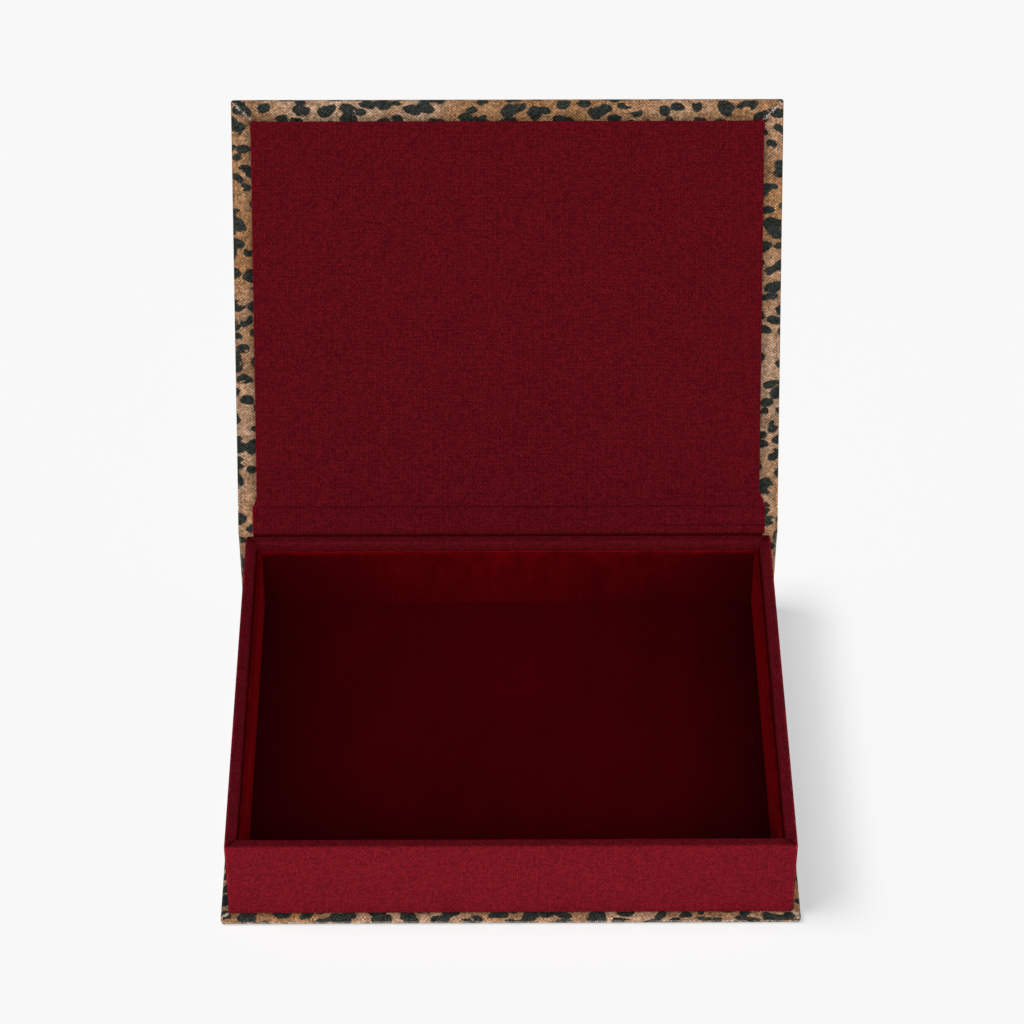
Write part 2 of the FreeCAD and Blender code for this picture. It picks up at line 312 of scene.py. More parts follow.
# %% Plain weave, a shared group: counting threads
def new_group(name, inputs, outputs):
    """A shader group that takes a Vector and some numbers, and the sockets of its input node."""
    group = bpy.data.node_groups.new(name, "ShaderNodeTree")
    group.interface.new_socket("Vector", in_out="INPUT", socket_type="NodeSocketVector")
    for socket in inputs:
        group.interface.new_socket(socket, in_out="INPUT", socket_type="NodeSocketFloat")
    for socket in outputs:
        group.interface.new_socket(socket, in_out="OUTPUT", socket_type="NodeSocketFloat")
    return group, add_node(group, "NodeGroupInput").outputs


def bent_by_noise(tree, place, scale, amount, detail=1.0):
    """A plane pulled about by noise: features of 1 / scale, moved by up to half the amount."""
    drift = vectors(tree, "SUBTRACT", noise_over(tree, place, scale, detail)["Color"], (0.5, 0.5, 0.5))
    return vectors(tree, "ADD", place, vectors(tree, "SCALE", drift, amount))


THREAD_WANDER = 0.5 * MM
WEAVE_INPUTS = ("Across", "Along", "Slub", "Chequer", "Slant", "Uneven")
weave, given = new_group("plain_weave", WEAVE_INPUTS, ("Height", "Tone"))
bent = bent_by_noise(weave, given["Vector"], 70.0, THREAD_WANDER, detail=2.0)
pitch = add_node(weave, "ShaderNodeCombineXYZ", {0: given["Across"], 1: given["Along"], 2: 1.0})
threads = vectors(weave, "DIVIDE", bent, pitch.outputs[0])
counted = add_node(weave, "ShaderNodeSeparateXYZ", {0: threads}).outputs
crowns, whole, waves = [], [], []
for axis in (0, 1):
    fraction = maths(weave, "FRACT", counted[axis])
    crowns.append(maths(weave, "SINE", maths(weave, "MULTIPLY", fraction, math.pi)))
    whole.append(maths(weave, "FLOOR", counted[axis]))
    waves.append(maths(weave, "SINE", maths(weave, "MULTIPLY", counted[axis], math.pi)))
print("plain_weave takes", WEAVE_INPUTS)

# %% [markdown]
# A chequer of whole threads says which thread is on top, and two sine waves round each thread. The warp
# shines a little more than the weft, which draws faint diagonals across the chequer. Noise lets some
# threads run darker than others, as spun yarn does, and makes each crossing differ.

# %% Plain weave: height and tone
half = maths(weave, "MULTIPLY", maths(weave, "ADD", whole[0], whole[1]), 0.5)
warp_on_top = maths(weave, "MULTIPLY", maths(weave, "FRACT", half), 2.0)


def thread_height(side, run):
    """A thread is round across, and dips along its run where it goes under the next one."""
    return maths(weave, "MULTIPLY", side, maths(weave, "MULTIPLY_ADD", run, 0.5, 0.5))


def of_top_thread(weft, warp):
    """The value of whichever thread is on top."""
    sockets = {0: warp_on_top, 2: weft, 3: warp}
    return add_node(weave, "ShaderNodeMix", sockets, data_type="FLOAT").outputs[0]


def yarn(stretch):
    """Noise that changes from thread to thread and slowly along each one."""
    return noise_over(weave, vectors(weave, "MULTIPLY", threads, stretch), 1.0, 1.0)["Fac"]


def varied(value, share):
    """1, give or take a share of how far a noise value is from its middle."""
    return maths(weave, "MULTIPLY_ADD", maths(weave, "SUBTRACT", value, 0.5), share, 1.0)


height = of_top_thread(thread_height(crowns[1], crowns[0]), thread_height(crowns[0], crowns[1]))
slub = of_top_thread(yarn((0.07, 0.9, 1.0)), yarn((0.9, 0.07, 1.0)))
both_ways = maths(weave, "MULTIPLY", maths(weave, "ADD", counted[0], counted[1]), math.pi)
slant = maths(weave, "MULTIPLY", maths(weave, "COSINE", both_ways), given["Slant"])
chequer = spread(weave, maths(weave, "MULTIPLY", waves[0], waves[1]), -0.5, 0.5, -1.0, 1.0)
chequer = maths(weave, "SUBTRACT", chequer, slant)
crossing = add_node(weave, "ShaderNodeCombineXYZ", {0: whole[0], 1: whole[1]}).outputs[0]
crossing = add_node(weave, "ShaderNodeTexWhiteNoise", {"Vector": crossing}, noise_dimensions="2D").outputs[0]
tone = varied(slub, given["Slub"])
tone = maths(weave, "MULTIPLY", tone, maths(weave, "MULTIPLY_ADD", chequer, given["Chequer"], 1.0))
tone = maths(weave, "MULTIPLY", tone, varied(crossing, given["Uneven"]))
add_node(weave, "NodeGroupOutput", {"Height": height, "Tone": maths(weave, "MAXIMUM", tone, 0.05)})
print("plain_weave:", len(weave.nodes), "nodes")

# %% [markdown]
# Where cloth is folded round an edge it is rubbed, and the crowns of the threads turn paler. The mesh
# knows where its folds are: each piece stores a number, about 1 on a fold and 0 on the flat, and higher
# where some edges get a painted highlight. This group breaks that number up with noise and lets only the
# high parts of the threads go pale. Below 0 the number paints shade instead, in creases, seams and gaps;
# at -1 the cloth is darkest.

# %% Worn folds and painted shade, a shared group
worn_and_shaded_threads, given = new_group("worn_and_shaded_threads", ("WearAndPaintedLight", "Height"), ("Mask", "Shade"))
patches = noise_over(worn_and_shaded_threads, given["Vector"], 350.0, 3.0, "3D")["Fac"]
rubbed = spread(worn_and_shaded_threads, patches, 0.35, 0.65)
crown = spread(worn_and_shaded_threads, given["Height"], 0.25, 0.8)
fold_wear_and_highlight = maths(worn_and_shaded_threads, "MAXIMUM", given["WearAndPaintedLight"], 0.0)
mask = maths(worn_and_shaded_threads, "MULTIPLY", maths(worn_and_shaded_threads, "MULTIPLY", rubbed, crown), fold_wear_and_highlight)
shade = spread(worn_and_shaded_threads, given["WearAndPaintedLight"], -1.0, 0.0, 0.2, 1.0)
add_node(worn_and_shaded_threads, "NodeGroupOutput", {"Mask": mask, "Shade": shade})
print("worn_and_shaded_threads:", len(worn_and_shaded_threads.nodes), "nodes")


# %% [markdown]
# A woven material lays the weave over a colour: the valleys between threads are dark, the crowns light,
# and the same height drives a bump so that the light catches the threads. The pattern follows a UV map
# named cloth, in metres, so that it turns over edges with the cloth.


# %% Helpers: weave a colour into a cloth material
def on_flat_cloth(tree):
    """The UV map: places on the cloth before it was folded."""
    return add_node(tree, "ShaderNodeUVMap", uv_map="cloth").outputs["UV"]


def wear_and_painted_light_mark(tree):
    """The number that the mesh stores for wear and painted light."""
    return add_node(tree, "ShaderNodeAttribute", attribute_name="wear_and_painted_light").outputs["Fac"]


def mixed(tree, factor, first, second):
    """Two colours mixed by a factor."""
    sockets = {0: factor, 6: first, 7: second}
    return add_node(tree, "ShaderNodeMix", sockets, data_type="RGBA").outputs[2]


def group_node(tree, group, sockets):
    return add_node(tree, "ShaderNodeGroup", sockets, node_tree=group).outputs


def add_bump(tree, shader, height, strength, distance):
    """Lets a height turn the shader's normals."""
    sockets = {"Height": height, "Strength": strength, "Distance": distance}
    fill(tree, shader.inputs["Normal"], add_node(tree, "ShaderNodeBump", sockets).outputs["Normal"])


def weave_into(tree, shader, base, pale_crown_colour, valley, crown, threads, undyed=0.0):
    """Base colour, wear, painted highlight, painted shade and bump of a plain-woven cloth. threads are the
    weave group's inputs, and undyed is how much the bare fibres add, so that the weave shows in dark
    colours too."""
    uv = on_flat_cloth(tree)
    cloth = group_node(tree, weave, dict(threads, Vector=uv))
    light = maths(tree, "MULTIPLY", spread(tree, cloth["Height"], 0.0, 1.0, valley, crown), cloth["Tone"])
    wear_and_shade = {"Vector": uv, "WearAndPaintedLight": wear_and_painted_light_mark(tree), "Height": cloth["Height"]}
    rubbed = group_node(tree, worn_and_shaded_threads, wear_and_shade)
    pale = mixed(tree, maths(tree, "MULTIPLY", rubbed["Mask"], 0.5), base, pale_crown_colour)
    light = maths(tree, "MULTIPLY", light, rubbed["Shade"])
    fibres = (undyed, undyed, undyed)
    woven = vectors(tree, "SCALE", vectors(tree, "ADD", pale, fibres), light)
    woven = vectors(tree, "MAXIMUM", vectors(tree, "SUBTRACT", woven, fibres), (0, 0, 0))
    fill(tree, shader.inputs["Base Color"], woven)
    add_bump(tree, shader, cloth["Height"], 0.35, 0.15 * MM)


# %% [markdown]
# The lining and the tray are covered in a dark red book cloth. Its warp stands about 1 mm apart and its
# weft about 0.63 mm. Lying flat it reads as fine upright ribs. Stretched round the tray its ribs flatten
# a little, and on the rim, where it is pulled over two edges, the chequer of the weave shows most. So the
# same cloth is made twice, and the second one gets more chequer from the height of the rim upwards.


# %% Red book cloth
RIM_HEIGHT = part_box("tray_wrap_cloth")[1].z
RIM_BLEND = 0.5 * MM
RED_THREADS = {"Across": 1.02 * MM, "Along": 0.63 * MM, "Slub": 0.45, "Uneven": 0.6}


def in_space(tree):
    """Object coordinates: places on the finished box."""
    return add_node(tree, "ShaderNodeTexCoord").outputs["Object"]


def red_book_cloth(name, valley, crown, rim_valley, chequer, rim_chequer, slant):
    """valley and crown are how light the cloth is between its threads and on them."""
    material, tree, shader = fresh_material(name, {"Specular IOR Level": 0.02})
    height = add_node(tree, "ShaderNodeSeparateXYZ", {0: in_space(tree)}).outputs["Z"]
    rim = (RIM_HEIGHT - RIM_BLEND, RIM_HEIGHT)
    chequer = spread(tree, height, *rim, chequer, rim_chequer)
    valley = spread(tree, height, *rim, valley, rim_valley)
    crown = spread(tree, height, *rim, crown, 2.0 - rim_valley)
    clouds = noise_over(tree, on_flat_cloth(tree), 28.0, 3.0)["Fac"]
    cloth_colour = mixed(tree, clouds, colour(81, 10, 18), colour(86, 11, 20))
    threads = dict(RED_THREADS, Chequer=chequer, Slant=slant)
    # the paler red on marked folds is partly wear, partly a painted highlight on the tray's outer sides and
    # the tail's ends
    weave_into(tree, shader, cloth_colour, colour(165, 34, 54), valley, crown, threads)
    return material


red_cloth = red_book_cloth("red_book_cloth", 0.38, 1.6, 0.4, 0.1, 0.1, 0.6)
stretched_red = red_book_cloth("stretched_book_cloth", 0.55, 1.42, 0.88, 0.18, 0.42, 0.4)
print("red book cloth ready:", red_cloth.name, stretched_red.name)

# %% [markdown]
# The case is covered in a printed cloth: dark spots on tan, like a leopard's coat. The spots are cells
# of a Voronoi texture. Each cell has its own random colour, which here sets how large its spot is and
# whether a bite is taken out of its side, so that ovals, beans and crescents come out. Noise bends the
# plane first, so that no two spots share an outline.

# %% Spots of the printed cloth
SPOT_SPACING = 7.4 * MM
SPOT_EDGE = 0.03
SPOT_TURN = math.radians(28)
SPOT_STRETCH = (0.82, 1.15, 1.0)
BITE_SIZE = 0.2
BITE_OFFSET = 0.34 * SPOT_SPACING

spots, given = new_group("leopard_spots", (), ("Spot",))
place = given["Vector"]
for scale, amount in ((55.0, 9 * MM), (200.0, 1.2 * MM), (1300.0, 0.9 * MM)):
    place = bent_by_noise(spots, place, scale, amount)
turned = {"Vector": place, "Rotation": (0, 0, SPOT_TURN), "Scale": SPOT_STRETCH}
place = add_node(spots, "ShaderNodeMapping", turned).outputs[0]
layout = {"Vector": place, "Scale": 1 / SPOT_SPACING, "Randomness": 0.8, "Smoothness": 0.45}
cells = add_node(spots, "ShaderNodeTexVoronoi", layout, voronoi_dimensions="2D", feature="SMOOTH_F1").outputs
chance = add_node(spots, "ShaderNodeSeparateColor", {0: cells["Color"]}).outputs
radius = spread(spots, chance[0], 0.15, 0.85, 0.31, 0.46)
blob = spread(spots, maths(spots, "SUBTRACT", radius, cells["Distance"]), -SPOT_EDGE, SPOT_EDGE)
angle = maths(spots, "MULTIPLY", chance[2], 2 * math.pi)
around = {0: maths(spots, "COSINE", angle), 1: maths(spots, "SINE", angle)}
aside = vectors(spots, "SCALE", add_node(spots, "ShaderNodeCombineXYZ", around).outputs[0], BITE_OFFSET)
ends = {0: place, 1: vectors(spots, "ADD", cells["Position"], aside)}
bite_far = add_node(spots, "ShaderNodeVectorMath", ends, operation="DISTANCE").outputs["Value"]
bite_far = maths(spots, "DIVIDE", bite_far, SPOT_SPACING)
bitten = spread(spots, chance[1], 0.5, 0.55)
bite = spread(spots, bite_far, BITE_SIZE - SPOT_EDGE, BITE_SIZE + SPOT_EDGE, 1.0, 0.0)
left_over = maths(spots, "SUBTRACT", 1.0, maths(spots, "MULTIPLY", bite, bitten))
add_node(spots, "NodeGroupOutput", {"Spot": maths(spots, "MULTIPLY", blob, left_over)})
print("leopard_spots:", len(spots.nodes), "nodes")

# %% [markdown]
# The ground of the print isn't one tan. It drifts slowly between two tans, has browner clouds, and is
# finely flecked, so three noises of different sizes colour it before the spots are laid on. The weave
# goes over both, with a little undyed fibre so that it also shows in the dark spots.

# %% Printed cloth
TAN, PALE_TAN, BROWN = colour(147, 107, 72), colour(165, 133, 108), colour(116, 83, 57)
SPOT_DARK = colour(42, 45, 41)
# paler crowns on marked folds: wear, and on the base's bottom front fold partly a painted highlight
PALE_CROWN_TAN = colour(222, 200, 186)
PRINT_THREADS = {"Across": 0.8 * MM, "Along": 0.65 * MM, "Slub": 0.5}
PRINT_THREADS.update({"Chequer": 0.36, "Slant": -0.3, "Uneven": 0.85})

print_cloth, tree, shader = fresh_material("leopard_cloth", {"Specular IOR Level": 0.08})
uv = on_flat_cloth(tree)
drifts, shades, flecks = (noise_over(tree, uv, scale, 2.0)["Fac"] for scale in (14.0, 45.0, 330.0))
ground = mixed(tree, spread(tree, drifts, 0.35, 0.65), TAN, PALE_TAN)
ground = mixed(tree, spread(tree, shades, 0.5, 0.75, 0.0, 0.6, smooth=True), ground, BROWN)
ground = vectors(tree, "SCALE", ground, spread(tree, flecks, 0.35, 0.65, 0.82, 1.18))
printed = mixed(tree, group_node(tree, spots, {"Vector": uv})["Spot"], ground, SPOT_DARK)
weave_into(tree, shader, printed, PALE_CROWN_TAN, 0.88, 1.12, PRINT_THREADS, undyed=0.012)
print("printed cloth ready")

# %% [markdown]
# The tray is lined in velvet: a dense pile that swallows light when looked into and glows where it is
# seen from the side. The sheen of the Principled shader does just that. Slow noise stands for the
# brush marks in the pile, and very fine noise for the tips of the fibres. Each panel's number paints a
# highlight in a lighter red where it is above 0, and paints shade where it is below 0.

# %% Velvet
velvet_finish = {"Roughness": 1.0, "Specular IOR Level": 0.02}
velvet_finish.update({"Sheen Weight": 0.45, "Sheen Roughness": 0.35, "Sheen Tint": colour(176, 8, 14)})
velvet, tree, shader = fresh_material("red_velvet", velvet_finish)
here = in_space(tree)
strokes = add_node(tree, "ShaderNodeMapping", {"Vector": here, "Scale": (1.0, 0.5, 1.0)}).outputs[0]
brushed = noise_over(tree, strokes, 42.0, 3.0, "3D")["Fac"]
tips = noise_over(tree, here, 1500.0, 1.0, "3D")["Fac"]
depth = spread(tree, brushed, 0.3, 0.7, 0.88, 1.12)
depth = maths(tree, "MULTIPLY", depth, spread(tree, tips, 0.3, 0.7, 0.78, 1.22))
# painted light: above 0 a painted highlight in a lighter red, below 0 painted shade that darkens the pile
velvet_painted_light = wear_and_painted_light_mark(tree)
depth = maths(tree, "MULTIPLY", depth, spread(tree, velvet_painted_light, -1.0, 0.0, 0.1, 1.0))
cloth_colour = mixed(tree, velvet_painted_light, colour(60, 0, 4), colour(130, 4, 10))
fill(tree, shader.inputs["Base Color"], vectors(tree, "SCALE", cloth_colour, depth))
add_bump(tree, shader, tips, 0.3, 0.2 * MM)
print("velvet ready")

# %% [markdown]
# Greyboard is pressed from waste paper: grey-brown, with darker flecks. It shows only in slits and
# between cut edges. Raw thread is the undyed core of the printed cloth, seen where it is cut.

# %% Greyboard and raw thread
greyboard, tree, shader = fresh_material("greyboard", {})
here = in_space(tree)
pulp = noise_over(tree, here, 300.0, 4.0, "3D")["Fac"]
flecks = add_node(tree, "ShaderNodeTexVoronoi", {"Vector": here, "Scale": 700.0}).outputs["Distance"]
paper = mixed(tree, pulp, colour(142, 136, 126), colour(170, 164, 152))
paper = mixed(tree, spread(tree, flecks, 0.08, 0.2, 0.6, 0.0), paper, colour(84, 78, 72))
fill(tree, shader.inputs["Base Color"], paper)
add_bump(tree, shader, pulp, 0.2, 0.1 * MM)
for name, node in frame["nodes"].items():
    if name.endswith(("_board", "_card", "_wall")):
        node.data.materials.clear()
        node.data.materials.append(greyboard)

raw_thread, tree, shader = fresh_material("raw_thread", {})
tint = spread(tree, noise_over(tree, in_space(tree), 900.0, 1.0, "3D")["Fac"], 0.35, 0.65)
bare = mixed(tree, tint, colour(235, 222, 216), colour(206, 176, 160))
fill(tree, shader.inputs["Base Color"], bare)
print("greyboard and raw thread ready")

# %% [markdown]
# Every piece starts as a bmesh, Blender's workbench for meshes. Cloth glued to a board is as flat as the
# board, so a cloth simulation would add nothing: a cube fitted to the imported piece, with its folds
# rounded, is nearer to the real thing. The middle of each round fold is marked as worn.

# %% Helpers for shapes
FLAT_NORMAL = 0.985


def slab(low, high):
    """A cube fitted between two corners."""
    bm = bmesh.new()
    bmesh.ops.create_cube(bm, size=1)
    bmesh.ops.scale(bm, verts=bm.verts, vec=high - low)
    bmesh.ops.translate(bm, verts=bm.verts, vec=(low + high) / 2)
    return bm


def bevel(bm, edges, width, segments):
    return bmesh.ops.bevel(bm, geom=edges, offset=width, offset_type="OFFSET", affect="EDGES",
                           segments=segments, profile=0.5, material=-1)


def round_folds(bm, edges, radius, segments=4):
    """Rounds edges, and marks the middle of each fold as worn."""
    wear_and_painted_light = bm.verts.layers.float.get("wear_and_painted_light") or bm.verts.layers.float.new("wear_and_painted_light")
    bevel(bm, edges, radius, segments)
    bm.normal_update()
    for vert in bm.verts:
        if all(max(abs(part) for part in face.normal) < FLAT_NORMAL for face in vert.link_faces):
            vert[wear_and_painted_light] = 1.0
    return wear_and_painted_light


def edges_where(bm, test):
    """The edges whose two ends both pass a test of their place."""
    return [e for e in bm.edges if all(test(v.co) for v in e.verts)]


# %% [markdown]
# The finished shape gets a UV map, so that the weave follows the cloth round its folds, then its
# thickness, and becomes an object. Weighted normals keep the flats flat beside the small round folds.

# %% Helpers from shape to piece
SHARP = math.radians(40)


def lay_cloth(bm, place_on_cloth):
    """Writes the UV map: where on the flat cloth, in metres, each corner of each face lies."""
    uv = bm.loops.layers.uv.new("cloth")
    for face in bm.faces:
        middle = face.calc_center_median()
        for loop in face.loops:
            loop[uv].uv = place_on_cloth(loop.vert.co, face.normal, middle)


def thicken(bm, thickness):
    """Gives a sheet its thickness, on the side that its faces look away from."""
    bmesh.ops.solidify(bm, geom=bm.faces[:], thickness=thickness)


def make_piece(name, bm, material, slot, *nodes):
    """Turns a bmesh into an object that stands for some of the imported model's nodes."""
    mesh = bpy.data.meshes.new(name)
    bm.to_mesh(mesh)
    bm.free()
    mesh.shade_smooth()
    mesh.set_sharp_from_angle(angle=SHARP)
    mesh.materials.append(material)
    piece = bpy.data.objects.new(name, mesh)
    bpy.context.scene.collection.objects.link(piece)
    if nodes:
        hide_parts(*nodes)
    print(name + ":", len(mesh.polygons), "faces")
    return piece


def even_shading(piece):
    piece.modifiers.new("even_shading", "WEIGHTED_NORMAL")


# %% [markdown]
# The lid and the base are the same thing twice: a board wrapped in printed cloth. The cloth is turned
# over three edges onto the inner face, and where two turned edges meet at a corner they are cut to a
# mitre. A slab with round folds gives the outside. An inset of the inner face gives the turn-ins, with
# the mitres falling out of its corners by themselves; the middle is then deleted, as glue hides it. Two
# places that are less than a hair apart count as one, and a face that looks almost straight along an
# axis counts as facing that way.

# %% Shape of a cover
HAIR = 0.01 * MM
FACING = 0.9
cloth_thick = box_when_shut("lid_board")[0].z - lid_low.z
cover_thick = lid_high.z - lid_low.z
COVER_ROUND = 1.0 * MM
BASE_ROUND = 1.6 * MM
TURN_IN = 16.0 * MM
MITRE_GAP = 0.25 * MM
MITRE_SLACK = 0.05 * MM
SIDE_STRIP = 20.0 * MM
CONTACT_SHADE = -0.4
FRONT_FOLD_WEAR_AND_HIGHLIGHT = 2.0


def on_mitre(co, low, high, inner):
    """Whether a point of the inner face lies on the slanting line between two turn-ins."""
    face_z = high.z if inner > 0 else low.z
    from_side, from_front = high.x - abs(co.x), co.y - low.y
    return abs(from_side - from_front) < MITRE_SLACK and abs(co.z - face_z) < HAIR


def pull_from_mitre(vert):
    """Opens the mitre a little: a corner of a turn-in moves back along its own strip."""
    along_side = vert.link_faces[0].calc_center_median().y > vert.co.y + SIDE_STRIP
    if along_side:
        vert.co.y += MITRE_GAP
    else:
        vert.co.x -= math.copysign(MITRE_GAP, vert.co.x)


def cover_cloth(low, high, inner, square, fold):
    """The cloth of a cover lying flat. inner is 1 where the inner face looks up, -1 where down. What
    lies on the inner face leaves a margin, the square, and painted shade darkens the cloth beside it."""
    def in_inner_half(co):
        return (co.z - low.z - cover_thick / 2) * inner > 0

    bm = slab(low, high)
    at_joint = edges_where(bm, lambda co: co.y > high.y - MM and in_inner_half(co))
    wear_and_painted_light = round_folds(bm, [e for e in bm.edges if e not in at_joint], fold)
    for vert in bm.verts:
        if in_inner_half(vert.co):
            vert[wear_and_painted_light] = 0.0
    inner_face = max((f for f in bm.faces if f.normal.z * inner > FACING), key=lambda f: f.calc_area())
    done = fold
    # painted shade: the cloth darkens from halfway across the square to where the lining or tray stands, and
    # stays darker under it
    for reach, shade in ((square / 2, 0.0), (square, CONTACT_SHADE), (TURN_IN, CONTACT_SHADE)):
        bmesh.ops.inset_region(bm, faces=[inner_face], thickness=reach - done, use_even_offset=True)
        done = reach
        for vert in inner_face.verts:
            vert[wear_and_painted_light] = shade
            if vert.co.y > 0:
                vert.co.y = high.y - cloth_thick * reach / TURN_IN
    mitres = edges_where(bm, lambda co: on_mitre(co, low, high, inner))
    bmesh.ops.delete(bm, geom=[inner_face], context="FACES")
    bmesh.ops.split_edges(bm, edges=[e for e in mitres if e.is_valid])
    # The base's bottom front fold is marked twice as strongly: partly wear, partly a painted highlight.
    for vert in bm.verts:
        at_bottom_fold = abs(vert.co.z - low.z - fold) < HAIR
        if inner > 0 and at_bottom_fold and vert.co.y < low.y + HAIR:
            vert[wear_and_painted_light] = FRONT_FOLD_WEAR_AND_HIGHLIGHT
        near_side = abs(vert.co.x) > high.x - TURN_IN - MM
        if vert.is_boundary and near_side and vert.co.y < low.y + TURN_IN + MM:
            pull_from_mitre(vert)
    return bm


# %% [markdown]
# The print has to run on without a break from the base over the spine to the lid, as it does on one
# piece of cloth. So each point of a cover is given the length of cloth between it and the spine, and
# round each fold the map runs on, with the lengths of the faces added up. Blender's own unwrapping would
# start each piece afresh. On a round fold, a face belongs to the side that it mostly looks to.

# %% Covers of the base and the lid
MOSTLY = 0.7
base_low, base_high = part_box("base_cover_cloth")
spine_low, spine_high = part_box("spine_cover_cloth")
lining_low, lining_high = box_when_shut("lid_lining_cloth")
joint_length = spine_low.y - base_high.y
spine_height = spine_high.z - spine_low.z
base_start = -joint_length
lid_start = spine_height + joint_length
base_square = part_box("tray_wrap_cloth")[0].y - base_low.y
lid_square = min(lining_low.y - lid_low.y, lid_high.x - lining_high.x)


def on_cover(low, high, inner, start, forward):
    """Where a cover's points lie on the flat cloth. start is the running length of the cloth at the
    joint, and forward says which way it runs from there."""
    outer_z = low.z if inner > 0 else high.z

    def place(co, normal, middle):
        down = abs(co.z - outer_z)
        to_joint = high.y - co.y
        if abs(normal.z) > MOSTLY and normal.z * inner < 0:
            return co.x, start + forward * to_joint
        side = math.copysign(1, middle.x)
        near_front = middle.y - low.y < high.x - abs(middle.x)
        if abs(normal.z) > MOSTLY and near_front:
            return co.x, start + forward * (high.y - low.y + cover_thick + co.y - low.y)
        if abs(normal.z) > MOSTLY:
            return side * (2 * high.x + cover_thick - abs(co.x)), start + forward * to_joint
        if abs(normal.y) > abs(normal.x):
            return co.x, start + forward * (high.y - low.y + down)
        return side * (high.x + down), start + forward * to_joint

    return place


bm = cover_cloth(base_low, base_high, 1, base_square, BASE_ROUND)
lay_cloth(bm, on_cover(base_low, base_high, 1, base_start, -1))
thicken(bm, cloth_thick)
base_cover = make_piece("base_cover", bm, print_cloth, "leopard_cloth", "base_cover_cloth")
even_shading(base_cover)
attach(base_cover, "tray")

bm = cover_cloth(lid_low, lid_high, -1, lid_square, COVER_ROUND)
lay_cloth(bm, on_cover(lid_low, lid_high, -1, lid_start, 1))
thicken(bm, cloth_thick)
bmesh.ops.rotate(bm, verts=bm.verts, cent=hinge, matrix=swing_open)
lid_cover = make_piece("lid_cover", bm, print_cloth, "leopard_cloth", "lid_cover_cloth")
even_shading(lid_cover)
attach(lid_cover, "lid")

# %% [markdown]
# Along a mitre the cut threads of the printed cloth come loose and show their pale core. Each loose end
# is a thin cone with four sides, laid across the cut along the warp or the weft, give or take some
# degrees. A seeded random generator places them, so that every run gives the same ends.

# %% Loose threads along the mitres
LID_THREADS = {-1: 3.6, 1: 5.4}
BASE_THREADS = {-1: 9.0, 1: 9.0}
THREAD_LENGTH = (0.5 * MM, 1.2 * MM)
THREAD_RADIUS = (0.07 * MM, 0.12 * MM)
THREAD_TAPER = 0.4
THREAD_SCATTER = 0.34
THREAD_RISE = 0.12
THREAD_TILT = (-0.05, 0.25)
TURN_SCATTER = 18
chance_of = random.Random(11)


def loose_threads(low, high, inner, reach, per_mm):
    """Thread ends along both front mitres of a cover lying flat, from the corner inwards by reach.
    per_mm says how many there are, on the left and on the right."""
    bm = bmesh.new()
    face_z = high.z if inner > 0 else low.z
    for side in (-1, 1):
        for _ in range(int(reach / MM * per_mm[side])):
            along = chance_of.uniform(COVER_ROUND, reach)
            middle = Vector((side * (high.x - along), low.y + along, face_z))
            scatter = [chance_of.gauss(0, THREAD_SCATTER) for axis in (0, 1)]
            middle += Vector((*scatter, inner * THREAD_RISE)) * MM
            turn = math.radians(chance_of.choice((0, 90)) + chance_of.gauss(0, TURN_SCATTER))
            run = Vector((math.cos(turn), math.sin(turn), inner * chance_of.uniform(*THREAD_TILT)))
            length = chance_of.uniform(*THREAD_LENGTH)
            radius = chance_of.uniform(*THREAD_RADIUS)
            place = Matrix.Translation(middle) @ run.to_track_quat("Z", "Y").to_matrix().to_4x4()
            bmesh.ops.create_cone(bm, cap_ends=True, segments=4, radius1=radius,
                                  radius2=radius * THREAD_TAPER, depth=length, matrix=place)
    return bm


bm = loose_threads(lid_low, lid_high, -1, lid_square, LID_THREADS)
bmesh.ops.rotate(bm, verts=bm.verts, cent=hinge, matrix=swing_open)
lid_threads = make_piece("lid_loose_threads", bm, raw_thread, "leopard_cloth")
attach(lid_threads, "lid")

bm = loose_threads(base_low, base_high, 1, base_square, BASE_THREADS)
base_threads = make_piece("base_loose_threads", bm, raw_thread, "leopard_cloth")
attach(base_threads, "tray")

# %% [markdown]
# The spine is a narrow board standing behind the tray. Its cloth runs on to the lid above and to the
# base below, and is turned in at its two ends only. So it needs no mitres: the slab is cut across at the
# end of each turn-in, and the faces between the cuts are deleted.


# %% Cover of the spine
def cut_all(bm, place, direction):
    """Cuts the whole mesh along a plane."""
    geometry = bm.verts[:] + bm.edges[:] + bm.faces[:]
    bmesh.ops.bisect_plane(bm, geom=geometry, plane_co=place, plane_no=direction)


def drop_faces(bm, test):
    """Deletes the faces whose normal and middle pass a test."""
    chosen = [f for f in bm.faces if test(f.normal, f.calc_center_median())]
    bmesh.ops.delete(bm, geom=chosen, context="FACES")


def is_level(edge):
    return edge.verts[0].co.z == edge.verts[1].co.z


spine_turn_in = spine_high.x - TURN_IN
bm = slab(spine_low, spine_high)
inner_edges = [e for e in edges_where(bm, lambda co: co.y < spine_low.y + MM) if is_level(e)]
round_folds(bm, [e for e in bm.edges if e not in inner_edges], COVER_ROUND)
for side in (-1, 1):
    cut_all(bm, Vector((side * spine_turn_in, 0, 0)), (1, 0, 0))
drop_faces(bm, lambda normal, middle: normal.y < -FACING and abs(middle.x) < spine_turn_in)


def on_spine(co, normal, middle):
    side = math.copysign(1, middle.x)
    along = co.z - spine_low.z
    if abs(normal.x) > MOSTLY:
        return side * (spine_high.x + spine_high.y - co.y), along
    if normal.y < -MOSTLY:
        return side * (2 * spine_high.x + cover_thick - abs(co.x)), along
    return co.x, along


lay_cloth(bm, on_spine)
thicken(bm, cloth_thick)
spine_cover = make_piece("spine_cover", bm, print_cloth, "leopard_cloth", "spine_cover_cloth")
even_shading(spine_cover)
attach(spine_cover, "tray")

